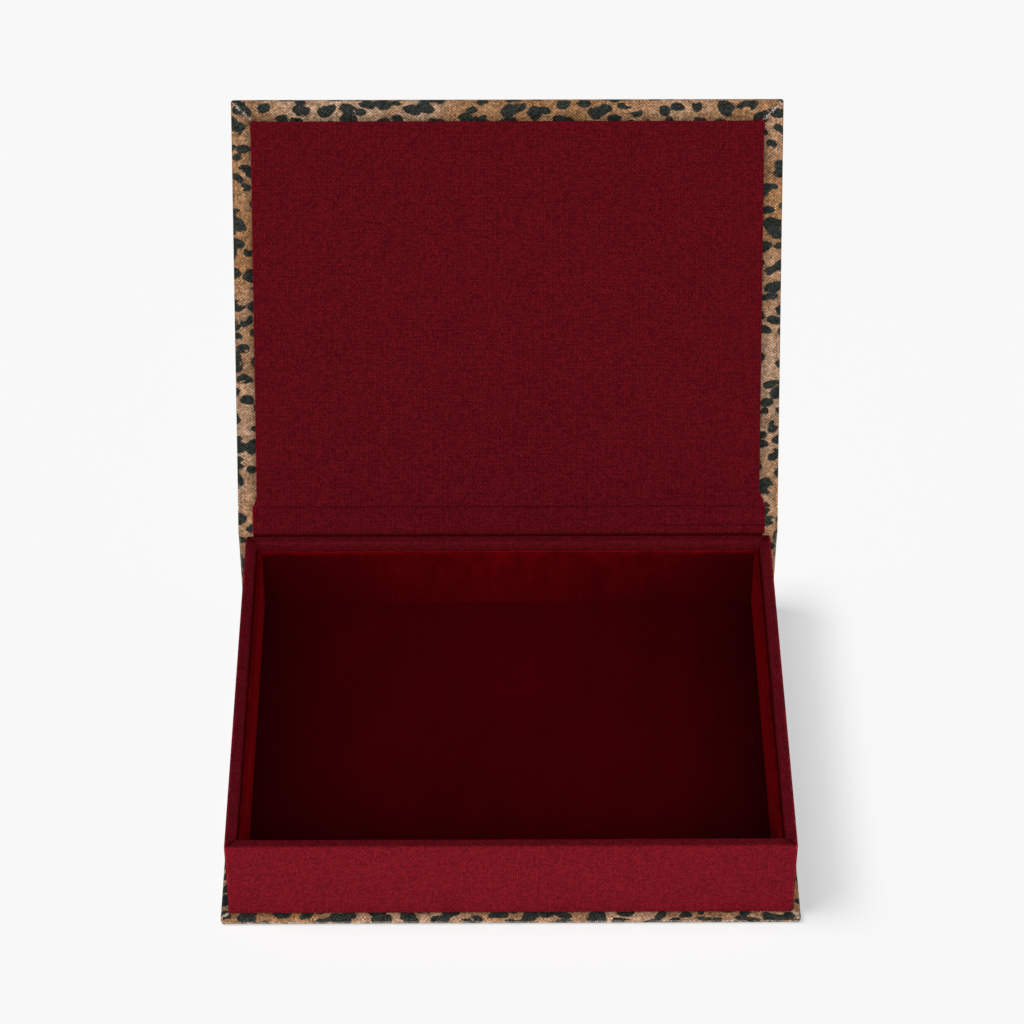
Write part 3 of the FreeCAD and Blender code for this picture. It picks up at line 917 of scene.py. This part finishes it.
# %% [markdown]
# Between the boards the cloth is bare, so that it can bend. Behind the lid it leaves the spine upright,
# bends through a short arc and runs straight up the lid. A bevelled corner would give a stiff bend of even
# width; an edge spun about the middle of the arc and then extruded follows the cloth's real path.

# %% The lid's joint
ARC_STEPS = 8
RUN_STEPS = 12
JOINT_COLUMNS = 16
lid_edge = hinge + swing_open @ (Vector((0, lid_high.y, lid_low.z)) - hinge)
lean = opening - math.pi / 2
up_the_lid = Vector((0, math.sin(lean), math.cos(lean)))
spine_top = Vector((0, spine_low.y, spine_high.z))
straight_run = (lid_edge.y - spine_top.y) / math.sin(lean)
bend_tangent = lid_edge.z - straight_run * math.cos(lean) - spine_top.z
bend_radius = bend_tangent / math.tan(lean / 2)


def grow(bm, edges, step):
    """Extrudes edges by a step. Gives the new vertices and edges."""
    made = bmesh.ops.extrude_edge_only(bm, edges=edges)["geom"]
    new_verts = [g for g in made if isinstance(g, bmesh.types.BMVert)]
    bmesh.ops.translate(bm, verts=new_verts, vec=step)
    return new_verts, [g for g in made if isinstance(g, bmesh.types.BMEdge)]


def joint_sheet(low_x, high_x, inwards, past_lid_edge, columns):
    """A strip from the top of the spine to the lid, a distance inwards from the joint line."""
    bm = bmesh.new()
    start = spine_top - Vector((0, inwards, 0))
    ends = [bm.verts.new(start + Vector((x, 0, 0))) for x in (low_x, high_x)]
    line = bm.edges.new(ends)
    bmesh.ops.subdivide_edges(bm, edges=[line], cuts=columns - 1)
    centre = spine_top + Vector((0, bend_radius, 0))
    bmesh.ops.spin(bm, geom=bm.verts[:] + bm.edges[:], cent=centre, axis=(1, 0, 0), angle=-lean,
                   steps=ARC_STEPS, use_duplicate=False)
    top = max(v.co.z for v in bm.verts)
    last = edges_where(bm, lambda co: co.z > top - HAIR)
    step = (straight_run - bend_tangent + past_lid_edge) / RUN_STEPS
    for _ in range(RUN_STEPS):
        _, last = grow(bm, last, up_the_lid * step)
    for face in bm.faces:
        if face.normal.y > 0:
            face.normal_flip()
    return bm, last


def along_joint(co, normal, middle):
    """The strip is so short that its height above the spine serves as its running length. At its ends
    the printed cloth is turned in, so there the map runs back."""
    along = (co.z - spine_top.z) / math.cos(lean) + spine_height
    if abs(middle.x) > lid_high.x - TURN_IN:
        return math.copysign(2 * lid_high.x + cover_thick - abs(co.x), co.x), along
    return co.x, along


bm, _ = joint_sheet(-lid_high.x, lid_high.x, 0.0, 0.0, JOINT_COLUMNS)
lay_cloth(bm, along_joint)
thicken(bm, cloth_thick)
lid_joint = make_piece("lid_joint", bm, print_cloth, "leopard_cloth", "lid_joint_cloth")
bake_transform(lid_joint)
print("lid's joint made, arc radius", round(bend_radius / MM, 2), "mm")

# %% [markdown]
# Behind the base the same cloth lies flat under the tray and never moves, so a grid is enough.

# %% The base's joint
joint_low, joint_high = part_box("base_joint_cloth")
joint_size = joint_high - joint_low
joint_middle = (joint_low + joint_high) / 2
bm = bmesh.new()
bmesh.ops.create_grid(bm, x_segments=JOINT_COLUMNS, y_segments=8, size=0.5)
bmesh.ops.scale(bm, verts=bm.verts, vec=(joint_size.x, joint_size.y, 1))
bmesh.ops.translate(bm, verts=bm.verts, vec=(joint_middle.x, joint_middle.y, joint_high.z))
lay_cloth(bm, lambda co, normal, middle: (co.x, base_start + co.y - joint_low.y))
thicken(bm, cloth_thick)
base_joint = make_piece("base_joint", bm, print_cloth, "leopard_cloth", "base_joint_cloth")
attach(base_joint, "tray")

# %% [markdown]
# Inside the lid lies a card wrapped in red cloth, a little smaller than the tray's opening so that it
# drops in when the lid shuts. Its corners are folded under in small bundles, which leave the corners
# blunt and slightly swollen. Cuts near the corners give the mesh enough points to push out there.

# %% Lining of the lid
lining_cloth = box_when_shut("lid_lining_card")[0].z - lining_low.z
LINING_ROUND = 0.45 * MM
LINING_CORNER = 0.9 * MM
LINING_BACK = 2.0 * MM
CORNER_CUTS = [0.8 * MM, 1.6 * MM, 2.6 * MM, 4.0 * MM, 6.0 * MM]
SWELL = {-1: 0.4 * MM, 1: 0.8 * MM}
SWELL_REACH = 2.2 * MM
SIDE_ROOM = 0.3 * MM
SWELL_PEAK_SHARE = 0.6
SWELL_SHARPNESS = 2.5
AT_EDGE = 0.3 * MM
RUBBED_BUNDLE = 1.5
RUBBED_LINING = 0.6

bm = slab(lining_low, lining_high)
front_corners = [e for e in bm.edges if not is_level(e) and e.verts[0].co.y < 0]
round_folds(bm, front_corners, LINING_CORNER, segments=3)
face_edges = edges_where(bm, lambda co: co.z < lining_low.z + HAIR)
wear_and_painted_light = round_folds(bm, face_edges, LINING_ROUND, segments=3)
for cut in CORNER_CUTS:
    cut_all(bm, Vector((lining_low.x + cut, 0, 0)), (1, 0, 0))
    cut_all(bm, Vector((lining_high.x - cut, 0, 0)), (1, 0, 0))
    cut_all(bm, Vector((0, lining_low.y + cut, 0)), (0, 1, 0))


def hidden_by_card(normal, middle):
    inside = abs(middle.x) < lining_high.x - LINING_BACK and middle.y > lining_low.y + LINING_BACK
    return normal.z > FACING and inside


def on_lining(co, normal, middle):
    down_side = co.z if abs(normal.x) > MOSTLY else 0
    down_front = co.z if abs(normal.y) > MOSTLY else 0
    return co.x + down_side, co.y + down_front


drop_faces(bm, hidden_by_card)
for vert in bm.verts:
    side = math.copysign(1, vert.co.x)
    corner = Vector((side * lining_high.x, lining_low.y, vert.co.z))
    away = (vert.co - corner).length
    off_peak = away / SWELL_REACH - SWELL_PEAK_SHARE
    push = SWELL[side] * math.exp(-(off_peak ** 2) * SWELL_SHARPNESS)
    if vert.co.y - lining_low.y < AT_EDGE:
        vert.co.y -= push
    if lining_high.x - abs(vert.co.x) < AT_EDGE:
        vert.co.x += side * min(push, SIDE_ROOM)
    vert[wear_and_painted_light] *= RUBBED_BUNDLE if away < SWELL_REACH else RUBBED_LINING
lay_cloth(bm, on_lining)
thicken(bm, lining_cloth)
bmesh.ops.rotate(bm, verts=bm.verts, cent=hinge, matrix=swing_open)
lid_lining = make_piece("lid_lining", bm, red_cloth, "red_book_cloth", "lid_lining_cloth")
even_shading(lid_lining)
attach(lid_lining, "lid")

# %% [markdown]
# The lining's cloth is longer than its card. The tail runs across the joint, where it hides the inside
# of the printed cloth. Beside the card the turned-under edges are let out, so the tail is a little wider
# than the card and its corners flare into two ears. They grow from the strip's last edges.

# %% Tail of the lining across the joint
TAIL_LEFT, TAIL_RIGHT = -118.3 * MM, 119.0 * MM
TAIL_COLUMNS = 24
TAIL_EDGE = 0.6 * MM
TAIL_END_HIGHLIGHT = 1.6
CREASE_RISE = 0.4 * MM
CREASE_SHADE = -0.6
FAINT_CREASE_RISE = 3.7 * MM
FAINT_CREASE_HALF = 0.4 * MM
FAINT_CREASE_FROM = 40 * MM
FAINT_CREASE_SHADE = -0.4
EAR_LENGTH = {-1: 5.0 * MM, 1: 8.0 * MM}
EAR_SHARES = (0.35, 0.7, 1.0)
back_margin = lid_high.y - lining_high.y

bm, last = joint_sheet(TAIL_LEFT, TAIL_RIGHT, lining_cloth, back_margin, TAIL_COLUMNS)
for side, end in ((-1, TAIL_LEFT), (1, TAIL_RIGHT)):
    cut_all(bm, Vector((end - side * TAIL_EDGE, 0, 0)), (1, 0, 0))
wear_and_painted_light = bm.verts.layers.float.new("wear_and_painted_light")
# Painted highlight on the tail's ends, and painted shade in its creases: along its lowest edge, and in a
# faint crease a little higher on the right part only.
for vert in bm.verts:
    rise = vert.co.z - spine_top.z
    past_start = (vert.co.x - FAINT_CREASE_FROM) / FAINT_CREASE_FROM
    if vert.co.x < TAIL_LEFT + HAIR or vert.co.x > TAIL_RIGHT - HAIR:
        vert[wear_and_painted_light] = TAIL_END_HIGHLIGHT
    if rise < CREASE_RISE:
        vert[wear_and_painted_light] = CREASE_SHADE
    if abs(rise - FAINT_CREASE_RISE) < FAINT_CREASE_HALF and past_start > 0:
        vert[wear_and_painted_light] = FAINT_CREASE_SHADE * min(1.0, past_start)
for side, edge_x in ((-1, lining_low.x), (1, lining_high.x)):
    row = sorted({v for e in last for v in e.verts}, key=lambda v: v.co.x * side)
    row[-2].co.x = edge_x - side * TAIL_EDGE
    full = row[-1].co.x
    outer = bm.edges.get((row[-1], row[-2]))
    for share in EAR_SHARES:
        tips, grown = grow(bm, [outer], up_the_lid * EAR_LENGTH[side] / len(EAR_SHARES))
        tip = max(tips, key=lambda v: v.co.x * side)
        tip.co.x = full + (edge_x - full) * share
        outer = next(e for e in grown if all(v in tips for v in e.verts))
for face in bm.faces:
    face.normal_update()
    if face.normal.y > 0:
        face.normal_flip()
lay_cloth(bm, along_joint)
thicken(bm, lining_cloth)
joint_lining = make_piece("joint_lining", bm, red_cloth, "red_book_cloth", "joint_lining_cloth")
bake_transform(joint_lining)

# %% [markdown]
# The end of the tail is glued between the spine and the tray's back wall. Only its upper edge shows, deep
# in the gap, so a thin slab with painted shade all over is enough.

# %% End of the tail
GLUED_SHADE = -0.7
SHORT_EDGE = 5 * MM
tail_low, tail_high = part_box("spine_lining_cloth")
bm = slab(tail_low, tail_high)
long_edges = [e for e in bm.edges if e.calc_length() > SHORT_EDGE]
bmesh.ops.subdivide_edges(bm, edges=long_edges, cuts=3, use_grid_fill=True)
wear_and_painted_light = bm.verts.layers.float.new("wear_and_painted_light")
for vert in bm.verts:
    vert[wear_and_painted_light] = GLUED_SHADE
lay_cloth(bm, lambda co, normal, middle: (co.x, co.z - spine_top.z + spine_height))
spine_lining = make_piece("spine_lining", bm, red_cloth, "red_book_cloth", "spine_lining_cloth")
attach(spine_lining, "tray")

# %% [markdown]
# One strip of red cloth wraps the tray's walls: up the outside, over the rim and down inside. Insetting
# the top face of a slab makes the rim, and pushing the middle down makes the inner flap. The folds are
# then rounded, and only those on the outer sides keep their mark, raised there: partly wear, partly a
# painted highlight. The inner flap gets painted shade: a little on the back's inner fold, and darkening
# towards its lower edge.

# %% Cloth round the tray: walls and rim
tray_low, tray_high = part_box("tray_wrap_cloth")
wall_low, wall_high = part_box("tray_front_wall")
tray_cloth = wall_low.y - tray_low.y
rim_width = wall_high.y - wall_low.y + 2 * tray_cloth
RIM_ROUND = 1.1 * MM
INNER_FLAP = 14.0 * MM
BOTTOM_FLAP = 12.0 * MM
SEAM_REACH = 2.0 * MM
CORNER_HEIGHT = 30.0 * MM
CORNER_TURN = 1.0
OUTER_SHARE = 0.7
INNER_BACK_SHARE = 0.8
SIDE_WEAR_AND_HIGHLIGHT = 1.5
BACK_CORNER_WEAR_AND_HIGHLIGHT = 1.6
BACK_FLAP_SHADE = -0.2
DEEP_SHADE = -1.0


def from_sides(co):
    """How far in a point is from the nearer side of the tray, and from its front or back."""
    return min(co.x - tray_low.x, tray_high.x - co.x), min(co.y - tray_low.y, tray_high.y - co.y)


def on_rim(edge, inset):
    """An edge that runs round the top of the tray, a distance in from its outer faces."""
    if any(v.co.z < tray_high.z - HAIR for v in edge.verts):
        return False
    middle = (edge.verts[0].co + edge.verts[1].co) / 2
    return abs(min(from_sides(middle)) - inset) < HAIR


def is_corner(edge):
    """A long upright edge between two outer or two inner faces."""
    height = abs(edge.verts[0].co.z - edge.verts[1].co.z)
    return height > CORNER_HEIGHT and edge.calc_face_angle(0) > CORNER_TURN


bm = slab(tray_low, tray_high)
top_face = max(bm.faces, key=lambda f: f.calc_center_median().z)
bottom_face = min(bm.faces, key=lambda f: f.calc_center_median().z)
bmesh.ops.inset_region(bm, faces=[bottom_face], thickness=BOTTOM_FLAP, use_even_offset=True)
bmesh.ops.delete(bm, geom=[bottom_face], context="FACES")
bmesh.ops.inset_region(bm, faces=[top_face], thickness=rim_width, use_even_offset=True)
well = bmesh.ops.extrude_discrete_faces(bm, faces=[top_face])["faces"][0]
bmesh.ops.translate(bm, verts=well.verts, vec=(0, 0, -INNER_FLAP))
bmesh.ops.delete(bm, geom=[well], context="FACES_ONLY")
for side in (-1, 1):
    cut_all(bm, Vector((side * (tray_high.x - rim_width - SEAM_REACH), 0, 0)), (1, 0, 0))
cut_all(bm, Vector((0, tray_low.y + rim_width + SEAM_REACH, 0)), (0, 1, 0))
cut_all(bm, Vector((0, tray_high.y - rim_width - SEAM_REACH, 0)), (0, 1, 0))
corners = [e for e in bm.edges if is_corner(e)]
rim_edges = [e for e in bm.edges if on_rim(e, 0.0) or on_rim(e, rim_width)]
wear_and_painted_light = round_folds(bm, corners + rim_edges, RIM_ROUND)
# Only the outer sides keep their fold mark, raised: partly wear, partly a painted highlight, most at the
# back corners. Painted shade goes on the back's inner fold and along the inner flap's lower edge.
for vert in bm.verts:
    below_top = tray_high.z - vert.co.z
    outer_side = abs(vert.co.x) > tray_high.x - OUTER_SHARE * RIM_ROUND
    back_corner = vert.co.y > tray_high.y - RIM_ROUND and below_top < RIM_ROUND
    from_flap = vert.co.y - tray_high.y + rim_width
    inner_back = -HAIR < from_flap < INNER_BACK_SHARE * RIM_ROUND and below_top < RIM_ROUND + HAIR
    if outer_side:
        vert[wear_and_painted_light] *= BACK_CORNER_WEAR_AND_HIGHLIGHT if back_corner else SIDE_WEAR_AND_HIGHLIGHT
    else:
        vert[wear_and_painted_light] = BACK_FLAP_SHADE if inner_back else 0.0
    if abs(below_top - INNER_FLAP) < HAIR:
        vert[wear_and_painted_light] = DEEP_SHADE
print("tray strip:", len(bm.faces), "faces before its seams")

# %% [markdown]
# At the rim's corners the cloth is cut, and the two sides meet in a slanting seam. The inset left a
# slanting edge there. A narrow bevel along each, with its middle pressed down, makes the seam. The UV
# map follows each wall's own strip of cloth.

# %% Cloth round the tray: seams and map
SEAM_HALF = 0.7 * MM
SEAM_DEPTH = 0.4 * MM
SEAM_SLACK = 0.05 * MM
SEAM_SHADE = -0.2
SIDE_PULL = 1.09
WRAP_SHARE = 0.9


def is_slanting(edge):
    run = edge.verts[0].co - edge.verts[1].co
    return abs(abs(run.x) - abs(run.y)) < HAIR


def on_tray(co, normal, middle):
    """Cloth lengths along a wall and up it. Pulled tight round the sides, the weave is wider there."""
    in_x, in_y = from_sides(middle)
    front_or_back = in_y < in_x
    along = co.x if front_or_back else co.y
    inset = from_sides(co)[1 if front_or_back else 0]
    if normal.z < -MOSTLY:
        rise = tray_low.z - inset
    elif inset > rim_width / 2:
        rise = 2 * tray_high.z + inset - co.z
    else:
        rise = co.z + inset
    pull = 1.0 if front_or_back else SIDE_PULL
    return along / pull, rise / pull


seams = [e for e in edges_where(bm, lambda co: co.z > tray_high.z - HAIR) if is_slanting(e)]
# painted shade along each seam, darkest in its pressed middle
for vert in bevel(bm, seams, SEAM_HALF, 2)["verts"]:
    vert[wear_and_painted_light] = SEAM_SHADE
    in_x, in_y = from_sides(vert.co)
    if abs(in_x - in_y) < SEAM_SLACK:
        vert.co.z -= SEAM_DEPTH
        vert[wear_and_painted_light] = DEEP_SHADE
lay_cloth(bm, on_tray)
thicken(bm, tray_cloth * WRAP_SHARE)
tray_wrap = make_piece("tray_wrap", bm, stretched_red, "red_book_cloth", "tray_wrap_cloth")
even_shading(tray_wrap)
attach(tray_wrap, "tray")

# %% [markdown]
# Five velvet panels line the tray: one on each wall and one on the floor. Each is a card with velvet
# folded over its edges. Painted light and shade stand in for how the light falls on the velvet, and each
# panel stores them as its number: on the walls it changes from the top edge downwards.

# %% Painted light on the velvet
VELVET_ROUND = 0.9 * MM
VELVET_FLAP = 10.0 * MM
VELVET_SKIN = 0.3 * MM
TOP_BAND = 0.6 * MM
GAP_DEPTH = 0.9 * MM
BACK_HALF = 0.3 * MM
# Painted light on the velvet: IN_GAP is painted shade; the others paint a highlight above 0 and shade below
# 0.
IN_GAP = -1.0
SIDE_TOP, SIDE_FACE = 0.28, -0.32
LONG_EDGE, LONG_TOP, LONG_FACE = 1.6, 0.15, 0.25
LONG_FACE_FALL = 0.33
FALL_PER_MM = 0.004


def uneven(co, scale):
    """Smooth noise between about -1 and 1, the same on every run."""
    return noise.noise(co * scale)


def painted_velvet_light(above_top, forward, toward, from_middle):
    """Painted light on the velvet: a painted highlight on the top edge and less below it. On the side
    walls the back of the top edge, deep in the gap beside the wall, gets painted shade, and their faces
    some too; on the front and back walls the back of the top edge gets the strongest painted highlight,
    and their faces get less painted light towards the ends and lower down. from_middle is 0 to 1 along the
    wall."""
    on_top = above_top > -TOP_BAND
    if toward.x != 0:
        flat = SIDE_TOP if on_top else SIDE_FACE
        return IN_GAP if forward < -GAP_DEPTH else flat
    if on_top:
        return LONG_EDGE if forward < -BACK_HALF else LONG_TOP
    return LONG_FACE - LONG_FACE_FALL * from_middle ** 2 + FALL_PER_MM * above_top / MM


# prints the painted highlight on the back wall's top edge and the painted shade on the side walls' faces
print("open pile on the back's edge:", LONG_EDGE, "and on the sides' faces:", SIDE_FACE)

# %% [markdown]
# The pile makes a panel's top edge soft and a little uneven. Hair would show every fibre, but the pile is
# shorter than a pixel of the portrait. So the velvet is a bent strip that is cut every millimetre or so
# along its length, and its top is nudged by smooth noise.

# %% Velvet on the walls
PANEL_STEP = 1.25 * MM
FOLD_CUT = 3.0 * MM
NUDGED_TOP = 2.5 * MM
UNEVEN = 0.3 * MM
UNEVEN_FORWARD = 0.2
TOP_SINK = 0.6
TOP_WAVES, FORWARD_WAVES = 230, 120
FINE_TUFTS, WIDE_TUFTS = 360, 140
BEHIND_MIDDLE = 0.5 * MM
OTHER_NOISE = Vector((0, 0, 1))
INWARDS = {"front": (0, 1, 0), "back": (0, -1, 0), "left": (1, 0, 0), "right": (-1, 0, 0)}


def wall_velvet(name, wall, toward):
    """Velvet over a wall panel's card. toward points from the wall to the middle of the tray."""
    low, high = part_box(name)
    centre = (low + high) / 2
    flap_end = high.z - VELVET_FLAP
    bm = slab(low, high)
    ends = [f for f in bm.faces if abs(f.normal.dot(toward)) < 0.1 and abs(f.normal.z) < 0.1]
    bottom = [f for f in bm.faces if f.normal.z < -FACING]
    bmesh.ops.delete(bm, geom=ends + bottom, context="FACES")
    length_axis = Vector((abs(toward.y), abs(toward.x), 0))
    wear_and_painted_light = round_folds(bm, [e for e in bm.edges if not e.is_boundary], VELVET_ROUND, segments=5)
    cut_all(bm, Vector((0, 0, flap_end)), (0, 0, 1))
    cut_all(bm, Vector((0, 0, high.z - FOLD_CUT)), (0, 0, 1))
    cut_all(bm, centre - toward * BEHIND_MIDDLE, toward)
    drop_faces(bm, lambda normal, middle: normal.dot(toward) < -FACING and middle.z < flap_end)
    start, end = low.dot(length_axis), high.dot(length_axis)
    count = int((end - start) / PANEL_STEP)
    for index in range(1, count):
        cut_all(bm, length_axis * (start + (end - start) * index / count), length_axis)
    for vert in bm.verts:
        offset = vert.co - centre
        from_middle = abs(offset.dot(length_axis)) / (end - start) * 2
        # painted light and shade on the panel, varied by noise in patches
        vert[wear_and_painted_light] = painted_velvet_light(vert.co.z - high.z, offset.dot(toward), toward, from_middle)
        vert[wear_and_painted_light] *= 1.0 + 0.6 * uneven(vert.co, FINE_TUFTS) + 0.7 * uneven(vert.co, WIDE_TUFTS)
        if vert.co.z > high.z - NUDGED_TOP:
            vert.co.z += UNEVEN * (uneven(vert.co, TOP_WAVES) - TOP_SINK)
            forward = UNEVEN * UNEVEN_FORWARD * uneven(vert.co + OTHER_NOISE, FORWARD_WAVES)
            vert.co += toward * forward
    bmesh.ops.recalc_face_normals(bm, faces=bm.faces)
    lay_cloth(bm, lambda co, normal, middle: (co.dot(length_axis), co.z - co.dot(toward)))
    thicken(bm, VELVET_SKIN)
    piece = make_piece(wall + "_panel_velvet", bm, velvet, "red_velvet", name)
    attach(piece, "tray")


for wall, toward in INWARDS.items():
    wall_velvet(wall + "_velvet", wall, Vector(toward))

# %% [markdown]
# The floor's panel fills the tray from wall to wall. It is a slab with soft edges, cut into a grid so
# that its top can be slightly uneven. Little light reaches its sides and its front, where painted shade
# darkens the pile; its middle gets a faint painted highlight.

# %% Velvet on the floor
BED_CUTS = 40
BED_UNEVEN = 0.15 * MM
BED_WAVES = 45
BED_SINK = 0.8
BED_TOP = 0.1 * MM
BED_MIDDLE_LIGHT, BED_SIDE_SHADE, BED_FRONT_SHADE = 0.02, 0.35, 0.28
bed_low, bed_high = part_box("floor_velvet")
bed_size = bed_high - bed_low
bed_middle = (bed_low + bed_high) / 2
bm = slab(bed_low, bed_high)
top_edges = [e for e in bm.edges if any(v.co.z > bed_low.z + MM for v in e.verts)]
wear_and_painted_light = round_folds(bm, top_edges, VELVET_ROUND, segments=4)
for index in range(1, BED_CUTS):
    cut_all(bm, Vector((bed_low.x + bed_size.x * index / BED_CUTS, 0, 0)), (1, 0, 0))
    cut_all(bm, Vector((0, bed_low.y + bed_size.y * index / BED_CUTS, 0)), (0, 1, 0))
drop_faces(bm, lambda normal, middle: normal.z < -FACING and abs(middle.x) < bed_high.x - VELVET_FLAP)
for vert in bm.verts:
    to_side = abs(vert.co.x) / bed_high.x
    to_front = max(0.0, bed_middle.y - vert.co.y) / bed_size.y * 2
    # painted shade towards the sides and the front, a faint painted highlight in the middle
    vert[wear_and_painted_light] = BED_MIDDLE_LIGHT - BED_SIDE_SHADE * to_side ** 4 - BED_FRONT_SHADE * to_front ** 2
    if vert.co.z > bed_high.z - BED_TOP:
        vert.co.z += BED_UNEVEN * (uneven(vert.co, BED_WAVES) - BED_SINK)
lay_cloth(bm, lambda co, normal, middle: (co.x, co.y))
thicken(bm, VELVET_SKIN)
bed = make_piece("floor_panel_velvet", bm, velvet, "red_velvet", "floor_velvet")
even_shading(bed)
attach(bed, "tray")

# %% [markdown]
# In the portrait only the tray throws a shadow on the table. So the lid and the spine are taken out of
# the way of the table's lamps, and the low strip is kept to the tray's cloth.

# %% Light linking of the pieces
no_shadow = [lid_cover, lid_threads, lid_lining, lid_joint, joint_lining]
no_shadow += [spine_cover, spine_lining, base_joint]
no_shadow += [frame["nodes"][name] for name in ("lid_board", "lid_lining_card", "spine_board")]
lid_shadow = linking("lid_shadow", no_shadow, "EXCLUDE")
for lamp in table_lamps:
    lamp.light_linking.blocker_collection = lid_shadow
front_strip.light_linking.receiver_collection = linking("tray_front", [tray_wrap], "INCLUDE")
print("without a shadow on the table:", len(no_shadow), "pieces")
